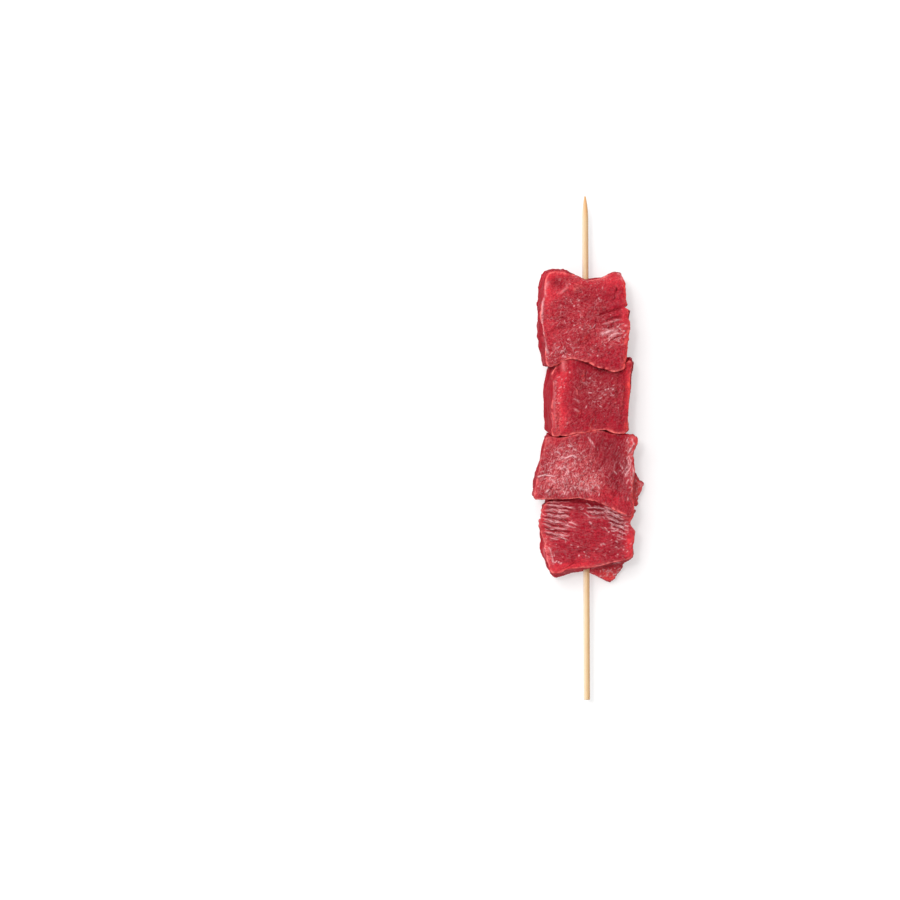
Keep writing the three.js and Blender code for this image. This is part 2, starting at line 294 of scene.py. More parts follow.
@dataclass(frozen=True)
class Sinews:
    """Short pale threads of sinew, strewn over one patch of a cube's top.

    Attributes:
        centre: The middle of the patch, seen from above.
        reach: The patch's half-widths in x and y.
        count: How many threads.
        length: The usual length of a thread.
        turn: Their usual angle from +X, in degrees.
        spread: How far the angles differ, in degrees.
        seed: Fixes the draws.
    """

    centre: Plan
    reach: tuple[float, float]
    count: int
    length: float
    turn: float
    spread: float
    seed: int

    THICKNESS = 0.18
    STEPS = 4
    SCATTER = 0.55
    BEND = 0.35
    LENGTHS = (0.5, 1.5)
    STRENGTHS = (0.35, 1.0)

    def paint(self, plan: np.ndarray) -> np.ndarray:
        """Works out how strongly threads cover each point.

        Args:
            plan: The points' x and y.

        Returns:
            The cover of each point, from 0 to 1.
        """
        draws = np.random.default_rng(self.seed)
        cover = np.zeros(len(plan))
        for _ in range(self.count):
            place = np.array(self.centre) + draws.normal(size=2) * self.SCATTER * np.array(self.reach)
            angle = math.radians(self.turn + draws.normal() * self.spread)
            bend = draws.normal() * self.BEND
            run = self.length * draws.uniform(*self.LENGTHS)
            strength = draws.uniform(*self.STRENGTHS)
            corners = [place]
            for _ in range(self.STEPS):
                heading = np.array([math.cos(angle), math.sin(angle)])
                corners.append(corners[-1] + heading * run / self.STEPS)
                angle += bend
            near = np.abs(plan - place).max(axis=1) < run + 1.0
            line = tuple((float(x), float(y)) for x, y in corners)
            distance, share = along_line(plan[near], line)
            ends = smooth_step(np.minimum(share, 1.0 - share), -0.02, 0.3)
            thread = strength * ends * np.exp(-(distance / self.THICKNESS) ** 2)
            cover[near] = np.maximum(cover[near], thread)
        return cover


@dataclass(frozen=True)
class Nudge:
    """A push that moves one spot of a cube's side, from its top to its foot.

    Attributes:
        place: The middle of the spot, seen from above.
        reach: Its half-widths in x and y.
        shift: How far its middle moves in x and y.
    """

    place: Plan
    reach: tuple[float, float]
    shift: Plan

    def move(self, plan: np.ndarray) -> np.ndarray:
        """Works out how far each point moves.

        Args:
            plan: The points' x and y.

        Returns:
            The way of each point in x and y.
        """
        offset = (plan - np.array(self.place)) / np.array(self.reach)
        near = np.exp(-np.sum(offset ** 2, axis=1))
        return near[:, None] * np.array(self.shift)


class Cut(Enum):
    """How the knife went through the muscle on the top of a cube."""

    ACROSS = "across the fibres"
    ALONG = "along the fibres"

    @property
    def fibres(self) -> tuple[float, float]:
        """Says how much longer than wide the bundles of fibres are, and how strongly they show."""
        return (5.0, 1.0) if self is Cut.ALONG else (2.2, 0.6)


class Skin:
    """The evenly meshed surface of one cube, with its points in millimetres."""

    SHRINK = 0.5
    GROW = 0.53

    def __init__(self, mesh: bpy.types.Mesh) -> None:
        """Reads the mesh.

        Args:
            mesh: An evenly meshed closed surface.
        """
        self.mesh = mesh
        count = len(mesh.vertices)
        points = np.empty(count * 3, np.float32)
        mesh.vertices.foreach_get("co", points)
        self.points = points.reshape(-1, 3).astype(float) / MM
        edges = np.empty(len(mesh.edges) * 2, np.int32)
        mesh.edges.foreach_get("vertices", edges)
        self.ends = edges.reshape(-1, 2)
        self.neighbours = np.bincount(self.ends.ravel(), minlength=count)

    def store(self) -> None:
        """Writes the points back to the mesh, in metres."""
        self.mesh.vertices.foreach_set("co", (self.points * MM).astype(np.float32).ravel())
        self.mesh.update()

    def normals(self) -> np.ndarray:
        """Stores the points and gives the outward direction at each."""
        self.store()
        found = np.empty(len(self.points) * 3, np.float32)
        self.mesh.vertex_normals.foreach_get("vector", found)
        return found.reshape(-1, 3).astype(float)

    def averaged(self, values: np.ndarray) -> np.ndarray:
        """Gives each point the mean of its neighbours' values.

        Args:
            values: One row or number for each point.

        Returns:
            The means, in the same form.
        """
        first, second = self.ends.T
        count = len(self.points)
        columns = values.reshape(count, -1)
        sums = [
            np.bincount(first, column[second], count) + np.bincount(second, column[first], count)
            for column in columns.T
        ]
        return (np.stack(sums, axis=1) / self.neighbours[:, None]).reshape(values.shape)

    def spread(self, values: np.ndarray, times: int) -> np.ndarray:
        """Blurs values over the surface.

        Args:
            values: One row or number for each point.
            times: How often they are evened out with their neighbours.

        Returns:
            The blurred values.
        """
        for _ in range(times):
            values = 0.5 * (values + self.averaged(values))
        return values

    def relax(self, times: int) -> None:
        """Smooths the facets away and keeps the volume.

        Args:
            times: How many rounds.
        """
        for _ in range(times):
            self.points += self.SHRINK * (self.averaged(self.points) - self.points)
            self.points -= self.GROW * (self.averaged(self.points) - self.points)

    def bulge(self, times: int) -> np.ndarray:
        """Finds edges and hollows.

        Args:
            times: How widely the surface is compared with its surroundings.

        Returns:
            How far each point stands out of them, negative in a hollow.
        """
        return np.einsum("ij,ij->i", self.points - self.spread(self.points, times), self.normals())

    def paint(self, name: str, values: np.ndarray) -> None:
        """Keeps one number for each point, for the finish to read.

        Args:
            name: The name that the finish asks for.
            values: The numbers, cut to 0 to 1.
        """
        layer = self.mesh.attributes.new(name, "FLOAT", "POINT")
        layer.data.foreach_set("value", np.clip(values, 0.0, 1.0).astype(np.float32))


class Bench:
    """Places and joins the nodes of one shader tree."""

    def __init__(self, tree: bpy.types.NodeTree) -> None:
        """Takes the tree on.

        Args:
            tree: The node tree to work in.
        """
        self.tree = tree

    def place(self, kind: str, **settings: object) -> bpy.types.Node:
        """Adds a node of a kind and gives it its settings."""
        node = self.tree.nodes.new(kind)
        for name, value in settings.items():
            setattr(node, name, value)
        return node

    def feed(self, socket: Socket, value: object) -> None:
        """Sets an input to a number, a colour or a vector, or joins another node's output to it."""
        if isinstance(value, Socket):
            self.tree.links.new(value, socket)
        else:
            socket.default_value = value

    def maths(self, operation: str, first: object, second: object = 0.0) -> Socket:
        """Works out one kind of sum of two numbers.

        Args:
            operation: The kind of sum.
            first: Its first number.
            second: Its second number.

        Returns:
            The result.
        """
        node = self.place("ShaderNodeMath", operation=operation)
        self.feed(node.inputs[0], first)
        self.feed(node.inputs[1], second)
        return node.outputs[0]

    def product(self, *factors: object) -> Socket:
        """Multiplies two numbers or more."""
        result = factors[0]
        for factor in factors[1:]:
            result = self.maths("MULTIPLY", result, factor)
        return result

    def most(self, *values: object) -> Socket:
        """Picks the largest of two numbers or more."""
        result = values[0]
        for value in values[1:]:
            result = self.maths("MAXIMUM", result, value)
        return result

    def vector(self, operation: str, first: object, second: object,
               output: str = "Vector") -> Socket:
        """Adds a sum of two vectors, or of a vector and its scale.

        Args:
            operation: The kind of sum.
            first: Its first vector.
            second: Its second vector, or the number that scales the first.
            output: Which result is wanted.

        Returns:
            The result.
        """
        node = self.place("ShaderNodeVectorMath", operation=operation)
        self.feed(node.inputs[0], first)
        self.feed(node.inputs["Scale" if operation == "SCALE" else 1], second)
        return node.outputs[output]

    def split(self, vector: Socket) -> list[Socket]:
        """Takes a vector apart into x, y and z."""
        node = self.place("ShaderNodeSeparateXYZ")
        self.feed(node.inputs[0], vector)
        return list(node.outputs)

    def join(self, *parts: object) -> Socket:
        """Puts x, y and z together into a vector."""
        node = self.place("ShaderNodeCombineXYZ")
        for socket, part in zip(node.inputs, parts):
            self.feed(socket, part)
        return node.outputs[0]

    def ramp(self, value: object, low: object, high: object, start: float = 0.0,
             end: float = 1.0) -> Socket:
        """Maps a number smoothly from one range to another.

        Args:
            value: The number.
            low: Where the rise starts.
            high: Where the rise ends.
            start: The result at low.
            end: The result at high.

        Returns:
            The mapped number.
        """
        node = self.place("ShaderNodeMapRange", interpolation_type="SMOOTHSTEP")
        for socket, number in zip(node.inputs[:5], (value, low, high, start, end)):
            self.feed(socket, number)
        return node.outputs[0]

    def fade(self, mask: Socket, start: float, end: float) -> Socket:
        """Maps a mask smoothly from one number, where it is 0, to another, where it is 1."""
        return self.ramp(mask, 0.0, 1.0, start, end)

    def scaled(self, mask: Socket, factor: float, start: float) -> Socket:
        """Scales a mask and adds a start."""
        return self.maths("ADD", self.product(mask, factor), start)

    def blend(self, share: object, first: object, second: object) -> Socket:
        """Mixes two colours.

        Args:
            share: How much of the second.
            first: The first colour.
            second: The second colour.

        Returns:
            The mixed colour.
        """
        node = self.place("ShaderNodeMix", data_type="RGBA", clamp_factor=True)
        self.feed(node.inputs["Factor"], share)
        self.feed(node.inputs[6], first)
        self.feed(node.inputs[7], second)
        return node.outputs[2]

    def noise(self, vector: Socket, scale: object, detail: float = 2.0,
              roughness: float = 0.5, distortion: float = 0.0) -> Socket:
        """Adds a noise pattern.

        Args:
            vector: The coordinates.
            scale: Lumps for each unit of length.
            detail: How many finer layers.
            roughness: How strong the finer layers are.
            distortion: How far the pattern is stirred.

        Returns:
            The pattern's value, mostly 0.3 to 0.7.
        """
        node = self.place("ShaderNodeTexNoise")
        self.feed(node.inputs["Vector"], vector)
        self.feed(node.inputs["Scale"], scale)
        node.inputs["Detail"].default_value = detail
        node.inputs["Roughness"].default_value = roughness
        node.inputs["Distortion"].default_value = distortion
        return node.outputs["Fac"]

    def stir(self, vector: Socket, scale: object) -> Socket:
        """Adds a noise pattern of vectors.

        Args:
            vector: The coordinates.
            scale: Lumps for each unit of length.

        Returns:
            The pattern's colour, to be used as a vector.
        """
        node = self.place("ShaderNodeTexNoise")
        self.feed(node.inputs["Vector"], vector)
        self.feed(node.inputs["Scale"], scale)
        return node.outputs["Color"]

    def painted(self, name: str) -> Socket:
        """Reads what was painted on the mesh's points."""
        return self.place("ShaderNodeAttribute", attribute_name=name).outputs["Fac"]

    def use(self, group: bpy.types.NodeTree, **values: object) -> dict[str, Socket]:
        """Places a node group.

        Args:
            group: The group.
            values: Its inputs, by name.

        Returns:
            Its outputs, by name.
        """
        node = self.place("ShaderNodeGroup", node_tree=group)
        for name, value in values.items():
            self.feed(node.inputs[name], value)
        return {output.name: output for output in node.outputs}

    def give(self, **values: Socket) -> bpy.types.NodeTree:
        """Hands out what a node group is for, by name, and gives the group."""
        result = self.place("NodeGroupOutput")
        for name, value in values.items():
            self.feed(result.inputs[name], value)
        return self.tree

    def bump(self, height: Socket, strength: float, distance: float) -> Socket:
        """Turns a height into a bent normal, where a height of 1 stands out by the distance."""
        node = self.place("ShaderNodeBump")
        for name, value in (("Height", height), ("Strength", strength), ("Distance", distance)):
            self.feed(node.inputs[name], value)
        return node.outputs[0]

    def shade(self, **values: object) -> None:
        """Adds the material's shader and joins it to the output.

        Args:
            values: The shader's inputs, by name with spaces as underscores.
        """
        shader = self.place("ShaderNodeBsdfPrincipled")
        for name, value in values.items():
            self.feed(shader.inputs[name.replace("_", " ")], value)
        self.feed(self.place("ShaderNodeOutputMaterial").inputs["Surface"], shader.outputs[0])


def new_material(name: str) -> bpy.types.Material:
    """Starts a material with an empty node tree.

    Args:
        name: Its name.

    Returns:
        The material.
    """
    made = bpy.data.materials.new(name)
    made.use_nodes = True
    made.node_tree.nodes.clear()
    return made


def put(name: str, data: bpy.types.ID) -> bpy.types.Object:
    """Puts a new object into the scene.

    Args:
        name: Its name.
        data: Its mesh, light or camera.

    Returns:
        The object.
    """
    made = bpy.data.objects.new(name, data)
    bpy.context.scene.collection.objects.link(made)
    return made


def new_group(name: str, outputs: tuple[str, ...], **inputs: float) -> tuple[Bench, dict[str, Socket]]:
    """Starts a node group that works on coordinates.

    Args:
        name: The group's name.
        outputs: The numbers that come out of it.
        inputs: The numbers that go in besides the coordinates, and their values until they are set.

    Returns:
        The bench to build on, and what goes in, by name.
    """
    tree = bpy.data.node_groups.new(name, "ShaderNodeTree")
    tree.interface.new_socket(name="Vector", in_out="INPUT", socket_type="NodeSocketVector")
    for socket, default in inputs.items():
        made = tree.interface.new_socket(name=socket, in_out="INPUT", socket_type="NodeSocketFloat")
        made.default_value = default
    for socket in outputs:
        tree.interface.new_socket(name=socket, in_out="OUTPUT", socket_type="NodeSocketFloat")
    bench = Bench(tree)
    return bench, {socket.name: socket for socket in bench.place("NodeGroupInput").outputs}


class Effects:
    """The shader effects that the meat and the bamboo share, each built once."""

    def __init__(self) -> None:
        """Builds the groups."""
        self.fibres = self._fibres()
        self.mottle = self._mottle()
        self.curls = self._curls()
        self.walls = self._walls()
        self.layers = self._layers()

    @staticmethod
    def _fibres() -> bpy.types.NodeTree:
        """Builds long fibres that lie side by side and wander a little."""
        bench, given = new_group(
            "lying_fibres", ("Mask", "Height"), Turn=0.0, Length=0.01, Width=0.001, Wander=0.001,
        )
        where = given["Vector"]
        stir = bench.stir(where, bench.maths("DIVIDE", 0.7, given["Length"]))
        centred = bench.vector("SUBTRACT", stir, (0.5, 0.5, 0.5))
        push = bench.vector("SCALE", centred, given["Wander"])
        turned = bench.place("ShaderNodeVectorRotate", rotation_type="Z_AXIS")
        bench.feed(turned.inputs["Vector"], bench.vector("ADD", where, push))
        bench.feed(turned.inputs["Angle"], bench.product(given["Turn"], -1.0))
        sizes = (given["Length"], given["Width"], given["Width"])
        parts = [bench.maths("DIVIDE", *pair) for pair in zip(bench.split(turned.outputs[0]), sizes)]
        lines = bench.noise(bench.join(*parts), 1.0, detail=3.0, roughness=0.6)
        return bench.give(Mask=bench.ramp(lines, 0.42, 0.68), Height=lines)

    @staticmethod
    def _mottle() -> bpy.types.NodeTree:
        """Builds uneven patches."""
        bench, given = new_group("uneven_patches", ("Mask", "Height"), Size=0.005, Low=0.4, High=0.6)
        lumps = bench.noise(
            given["Vector"], bench.maths("DIVIDE", 1.0, given["Size"]),
            detail=3.0, roughness=0.55, distortion=0.3,
        )
        return bench.give(Mask=bench.ramp(lumps, given["Low"], given["High"]), Height=lumps)

    @staticmethod
    def _curls() -> bpy.types.NodeTree:
        """Builds thin curled lines that break off here and there."""
        bench, given = new_group("curled_lines", ("Mask",), Size=0.004, Turns=6.0, Thickness=0.2)
        scale = bench.maths("DIVIDE", 1.0, given["Size"])
        lumps = bench.noise(given["Vector"], scale, detail=1.5, distortion=0.8)
        turns = bench.maths("FRACT", bench.product(lumps, given["Turns"]))
        away = bench.maths("ABSOLUTE", bench.maths("SUBTRACT", turns, 0.5))
        lines = bench.ramp(away, 0.0, given["Thickness"], 1.0, 0.0)
        broken = bench.noise(given["Vector"], bench.product(scale, 2.7), detail=1.0)
        return bench.give(Mask=bench.product(lines, bench.ramp(broken, 0.45, 0.56)))

    @staticmethod
    def _walls() -> bpy.types.NodeTree:
        """Builds the pale walls round bundles of fibres that the knife cut across."""
        bench, given = new_group("bundle_walls", ("Mask",), Size=0.0016)
        scale = bench.maths("DIVIDE", 1.0, given["Size"])
        where = given["Vector"]
        push = bench.vector("SCALE", bench.stir(where, scale), bench.product(given["Size"], 1.4))
        cells = bench.place("ShaderNodeTexVoronoi", feature="DISTANCE_TO_EDGE")
        bench.feed(cells.inputs["Vector"], bench.vector("ADD", where, push))
        bench.feed(cells.inputs["Scale"], scale)
        walls = bench.ramp(cells.outputs["Distance"], 0.02, 0.22, 1.0, 0.0)
        broken = bench.noise(where, bench.product(scale, 1.3), detail=1.0)
        return bench.give(Mask=bench.product(walls, bench.ramp(broken, 0.46, 0.62)))

    @staticmethod
    def _layers() -> bpy.types.NodeTree:
        """Builds thin layers of muscle that lie on one another and show on the sides."""
        bench, given = new_group("stacked_layers", ("Height",), Length=0.012, Spacing=0.0008)
        waves = bench.noise(given["Vector"], bench.maths("DIVIDE", 0.8, given["Length"]))
        x, y, z = bench.split(given["Vector"])
        across = [bench.maths("DIVIDE", part, given["Length"]) for part in (x, y)]
        level = bench.maths("DIVIDE", z, given["Spacing"])
        level = bench.maths("ADD", level, bench.product(waves, 6.0))
        return bench.give(Height=bench.noise(bench.join(*across, level), 1.0, detail=3.0, roughness=0.6))


class BeefBench(Bench):
    """The bench of one material of raw beef, with the patterns and masks that it is mixed from."""

    CROSSING = 0.35

    def __init__(self, tree: bpy.types.NodeTree, effects: Effects, turn: float,
                 slant: tuple[float, float, float]) -> None:
        """Takes the tree on and makes the patterns.

        Args:
            tree: The node tree to work in.
            effects: The shared node groups.
            turn: The angle of the fibres from +X, in radians.
            slant: The turns about X, Y and Z between the cube's axes and its layers, in radians.
        """
        super().__init__(tree)
        self.where = self.place("ShaderNodeTexCoord").outputs["Object"]
        slanted = self.place("ShaderNodeVectorRotate", rotation_type="EULER_XYZ")
        self.feed(slanted.inputs["Vector"], self.where)
        self.feed(slanted.inputs["Rotation"], slant)
        lying = slanted.outputs[0]
        self.broad = self.use(effects.mottle, Vector=self.where, Size=0.008, Low=0.36, High=0.62)
        self.middle = self.use(effects.mottle, Vector=self.where, Size=0.0024, Low=0.36, High=0.64)
        self.fine, self.threads, self.strands = (
            self.use(effects.fibres, Vector=lying, Turn=angle, Length=length, Width=width,
                     Wander=wander)["Height"]
            for angle, length, width, wander in (
                (turn + self.CROSSING, 0.0015, 0.0007, 0.001),
                (turn, 0.004, 0.0006, 0.002),
                (turn, 0.0022, 0.00045, 0.0008),
            )
        )
        self.layers = self.use(effects.layers, Vector=lying, Length=0.014, Spacing=0.0008)["Height"]
        self.walls = self.use(effects.walls, Vector=self.where, Size=0.0014)["Mask"]
        curls = self.use(effects.curls, Vector=self.where, Size=0.0036, Turns=5.0, Thickness=0.13)
        self.curls = curls["Mask"]
        self.crisp = self.ramp(self.specks(0.006), 0.38, 0.6, 0.45, 1.0)
        self.flank = self.painted("flank")
        self.haze = self.painted("haze")
        self.flush = self.painted("flush")
        self.on_top = self.fade(self.flank, 1.0, 0.15)

    def specks(self, size: float, detail: float = 1.0) -> Socket:
        """Adds a plain noise pattern with lumps of a given size, in metres."""
        return self.noise(self.where, 1.0 / size, detail=detail)


@dataclass(frozen=True)
class BeefFinish:
    """Moist raw beef.

    Attributes:
        deep: The muscle's darker red.
        bright: The muscle's lighter red.
        sinew: The pale threads and films between the muscle bundles.
        film_and_sheen: The whitish layer over parts of the top, partly a painted sheen.
        edge: The pale colour of the painted highlight along the top's rim.
        glow: The painted glow of thin edges on the lit side and of torn meat, as if light came through them.
        flush: The smooth bright meat, and painted light on edges and on low parts that lie in shade.
        flank: The darker red painted on the sides as painted shade.
        blood_and_shade: The dark red of clots, and of the painted shade in hollows and creases.
        grain: The angle of the fibres from +X, in degrees.
        strands: How strongly long fibres show.
        cells: How strongly fibres cut across show.
        hairs: How strongly the finest fibres show.
        wetness: How much of the top is wet.
        relief: How strong the finest relief is.
        slant: The turns about X, Y and Z between the cube's axes and its layers, in radians.
    """

    deep: Colour = linear(136, 5, 28)
    bright: Colour = linear(196, 28, 50)
    sinew: Colour = linear(243, 188, 192)
    film_and_sheen: Colour = linear(228, 112, 112)
    edge: Colour = linear(255, 124, 120)
    glow: Colour = linear(234, 64, 62)
    flush: Colour = linear(221, 48, 62)
    flank: Colour = linear(154, 2, 24)
    blood_and_shade: Colour = linear(122, 0, 18)
    grain: float = 20.0
    strands: float = 0.3
    cells: float = 0.3
    hairs: float = 0.14
    wetness: float = 0.4
    relief: float = 0.8
    slant: tuple[float, float, float] = (0.22, 0.16, 0.0)

    SPOTS = 0.2
    LIT_LAYERS = 0.4
    WET_SINEW = 0.8
    PORE = 0.0006
    PATCH = 0.0009
    DROP = 0.0005
    GRIT = 0.00032
    RELIEF_HEIGHT = 0.0007

    def material(self, name: str, effects: Effects) -> bpy.types.Material:
        """Builds the material.

        Args:
            name: Its name.
            effects: The shared node groups.

        Returns:
            The material.
        """
        made = new_material(name)
        bench = BeefBench(made.node_tree, effects, math.radians(self.grain), self.slant)
        sinew = bench.product(bench.painted("sinew"), bench.ramp(bench.strands, 0.34, 0.58, 0.1, 1.0))
        # White specks: painted highlights on crests and painted glints, partly specks of fat.
        sinew = bench.most(sinew, bench.painted("glint_fleck"))
        pale = self._threads(bench, sinew)
        colour = self._muscle(bench)
        colour = bench.blend(pale, colour, self.sinew)
        # Painted shade: hollows and creases are darkened to a dark red.
        colour = bench.blend(bench.painted("hollow"), colour, self.blood_and_shade)
        wet = self._wet(bench, sinew)
        normal = bench.bump(self._relief(bench, pale), self.relief, self.RELIEF_HEIGHT)
        bench.shade(
            Base_Color=colour, Roughness=bench.fade(wet, 0.6, 0.3), IOR=1.4, Specular_IOR_Level=0.1,
            Normal=normal, Coat_Normal=normal, Coat_Weight=wet, Coat_Roughness=0.12, Coat_IOR=1.4,
            Subsurface_Weight=0.15, Subsurface_Radius=(1.0, 0.25, 0.2), Subsurface_Scale=0.0012,
        )
        return made

    def _muscle(self, bench: BeefBench) -> Socket:
        """Mixes the colour of the muscle, coat over coat.

        Args:
            bench: Where to build, with the patterns.

        Returns:
            The colour under the threads.
        """
        # Darker meat, and painted shade in hollows and under a neighbour's edge.
        dark_meat_and_shade = bench.painted("dark_meat_and_shade")
        gaps = bench.ramp(bench.fine, 0.36, 0.62, 0.16, 0.88)
        gaps = bench.product(gaps, bench.fade(bench.flush, 0.85, 0.5))
        clots = bench.product(bench.ramp(bench.fine, 0.5, 0.62, 0.1, 0.6), bench.ramp(dark_meat_and_shade, 0.5, 1.0))
        # Painted shade on the sides, weaker where the bright meat is painted.
        side_shade = bench.product(bench.flank, bench.fade(bench.flush, 0.7, 0.2))
        lit = bench.product(bench.ramp(bench.layers, 0.45, 0.6), bench.flank, self.LIT_LAYERS)
        pores = bench.specks(self.PORE)
        dark = bench.product(bench.ramp(pores, 0.53, 0.62, 0.0, 0.6), bench.on_top)
        dark = bench.product(dark, bench.fade(bench.flush, 1.0, 0.5))
        light = bench.product(bench.ramp(pores, 0.36, 0.46, 1.0, 0.0), bench.on_top)
        light = bench.product(light, bench.scaled(bench.haze, 1.2, 0.07))
        # The painted glow of the lit edges and of torn meat.
        glow = bench.product(bench.painted("glow"), bench.ramp(bench.fine, 0.4, 0.6, 1.0, 0.35))
        # The painted highlight along the top's rim, stronger where the mottle is high.
        rim = bench.product(bench.painted("rim"), bench.ramp(bench.middle["Height"], 0.35, 0.6, 0.55, 1.0))
        # A whitish layer where the haze is painted, partly a painted sheen.
        patchy = bench.ramp(bench.specks(self.PATCH, 2.0), 0.36, 0.62, 0.0, 0.55)
        patchy = bench.product(patchy, bench.ramp(bench.middle["Height"], 0.4, 0.62, 0.6, 1.0))
        streaked = bench.ramp(bench.strands, 0.44, 0.58, 0.0, 0.7)
        veil = bench.product(bench.haze, bench.maths("ADD", patchy, streaked))
        colour = bench.blend(bench.fade(bench.broad["Mask"], 0.4, 0.66), self.deep, self.bright)
        for share, coat in (
            (bench.product(bench.middle["Mask"], self.SPOTS), self.bright), (dark_meat_and_shade, self.deep),
            (bench.flush, self.flush), (gaps, self.deep), (clots, self.blood_and_shade), (side_shade, self.flank),
            (lit, self.bright), (dark, self.deep), (light, self.film_and_sheen), (glow, self.glow), (rim, self.edge),
            (veil, self.film_and_sheen),
        ):
            colour = bench.blend(share, colour, coat)
        return colour

    def _threads(self, bench: BeefBench, sinew: Socket) -> Socket:
        """Mixes the mask of all that is pale.

        Args:
            bench: Where to build, with the patterns.
            sinew: The mask of the sinews that are painted on.

        Returns:
            The mask.
        """
        lines = bench.ramp(bench.threads, 0.57, 0.7)
        pale = bench.most(
            bench.product(lines, bench.scaled(bench.haze, 0.6, self.strands)),
            bench.product(bench.walls, bench.scaled(bench.haze, 0.25, self.cells)),
            bench.product(bench.curls, bench.scaled(bench.haze, 3.2, 0.04)),
            bench.product(bench.ramp(bench.strands, 0.5, 0.66), self.hairs),
        )
        pale = bench.product(pale, bench.product(bench.crisp, bench.on_top))
        pale = bench.product(pale, bench.fade(bench.flush, 1.0, 0.35))
        thin = bench.product(bench.ramp(bench.layers, 0.6, 0.7), bench.flank)
        thin = bench.product(thin, bench.ramp(bench.broad["Height"], 0.4, 0.6, 0.1, 0.35))
        return bench.most(pale, thin, sinew)

    def _relief(self, bench: BeefBench, pale: Socket) -> Socket:
        """Adds up the finest relief.

        Args:
            bench: Where to build, with the patterns.
            pale: The mask of all that is pale.

        Returns:
            The height.
        """
        grit = bench.specks(self.GRIT, 2.0)
        ridges = bench.product(bench.layers, bench.flank)
        height = bench.product(bench.fine, -0.6)
        for pattern, share in ((bench.threads, 0.4), (pale, 0.3), (grit, 0.6), (ridges, 0.9)):
            height = bench.maths("ADD", height, bench.product(pattern, share))
        return bench.product(height, bench.crisp)

    def _wet(self, bench: BeefBench, sinew: Socket) -> Socket:
        """Mixes the mask of what is wet.

        Args:
            bench: Where to build, with the patterns.
            sinew: The mask of the sinews that are painted on.

        Returns:
            The mask.
        """
        wet = bench.product(
            bench.ramp(bench.specks(self.DROP), 0.5, 0.6),
            bench.ramp(bench.broad["Height"], 0.38, 0.6, 0.3, 1.0),
            bench.ramp(bench.flank, 0.1, 0.7, 1.0, 0.15),
            bench.scaled(bench.painted("gloss"), 1.0, self.wetness),
        )
        return bench.most(wet, bench.product(sinew, self.WET_SINEW))


@dataclass(frozen=True)
class BambooFinish:
    """Planed, unvarnished bamboo.

    Attributes:
        pale: The wood between the fibres.
        lit_side_highlight: A paler tone painted on the stick's left side, as a painted highlight.
        fibre_and_shade: The darker fibres, also painted on the stick's right side as painted shade.
        point: The warmer wood that sharpening lays bare.
    """

    pale: Colour = linear(214, 186, 142)
    lit_side_highlight: Colour = linear(240, 224, 200)
    fibre_and_shade: Colour = linear(206, 158, 112)
    point: Colour = linear(218, 158, 96)

    LINES = 0.55
    PATCHES = 0.18
    SHARPENED = 0.7
    # Where across the stick the painted shade of the right side and the painted highlight of the left side
    # start and reach full strength.
    SIDE = (0.0001, 0.0011)

    def material(self, name: str, effects: Effects) -> bpy.types.Material:
        """Builds the material.

        Args:
            name: Its name.
            effects: The shared node groups.

        Returns:
            The material.
        """
        made = new_material(name)
        bench = Bench(made.node_tree)
        where = bench.place("ShaderNodeTexCoord").outputs["Object"]
        lines = bench.use(
            effects.fibres, Vector=where, Turn=math.pi / 2, Length=0.03, Width=0.00022, Wander=0.0002,
        )
        broad = bench.use(effects.mottle, Vector=where, Size=0.012, Low=0.35, High=0.65)
        inner, outer = self.SIDE
        across = bench.split(where)[0]
        wood = self.pale
        for share, coat in (
            (bench.product(lines["Mask"], self.LINES), self.fibre_and_shade),
            (bench.product(broad["Mask"], self.PATCHES), self.fibre_and_shade),
            (bench.product(bench.painted("sharpened"), self.SHARPENED), self.point),
            # Painted shade on the right side, and a painted highlight on the left.
            (bench.ramp(across, inner, outer, 0.0, 0.65), self.fibre_and_shade),
            (bench.ramp(across, -outer, -inner, 0.75, 0.0), self.lit_side_highlight),
        ):
            wood = bench.blend(share, wood, coat)
        bench.shade(
            Base_Color=wood, Roughness=bench.ramp(lines["Height"], 0.3, 0.7, 0.36, 0.5),
            Normal=bench.bump(lines["Height"], 0.4, 0.0001),
            Subsurface_Weight=0.15, Subsurface_Radius=(1.0, 0.7, 0.4), Subsurface_Scale=0.0006,
        )
        return made


class Blank:
    """A cube before its relief, which all its patterns are laid out on."""

    UPWARD = (0.2, 0.7)
    FLANK = (0.3, 0.8)
    SIDEWAYS = (0.6, 0.95)

    def __init__(self, skin: Skin, seed: int) -> None:
        """Takes the cube as it is.

        Args:
            skin: The cube's surface.
            seed: Fixes the cube's noise.
        """
        self.points = skin.points.copy()
        self.facing = skin.normals()
        self.noise = GradientNoise(seed)
        self.plan = self.points[:, :2]
        self.top = self.points[:, 2].max()
        self.upward = smooth_step(self.facing[:, 2], *self.UPWARD)
        self.flank = 1.0 - smooth_step(self.facing[:, 2], *self.FLANK)
        self.sideways = smooth_step(np.abs(self.facing[:, 0]), *self.SIDEWAYS)

    def lumps(self, *patterns: Lumps) -> np.ndarray:
        """Adds patterns of lumps up at the points."""
        return self.noise.lumps(self.points, *patterns)

    def near_top(self, low: float, high: float) -> np.ndarray:
        """Rises from 0 at one depth to 1 at a lesser one.

        Args:
            low: Where the rise starts, counted down from the top.
            high: Where it ends.

        Returns:
            The risen values, each from 0 to 1.
        """
        return smooth_step(self.points[:, 2], self.top - low, self.top - high)


@dataclass
class Marks:
    """What carving leaves at each point of a cube.

    Attributes:
        sinew: How far pale threads cover it.
        glint_flecks: How far white specks cover it: the painted highlight on crests, and painted glints.
        creased: How deep in a crease it lies, for the painted shade of creases.
    """

    sinew: np.ndarray
    glint_flecks: np.ndarray
    creased: np.ndarray


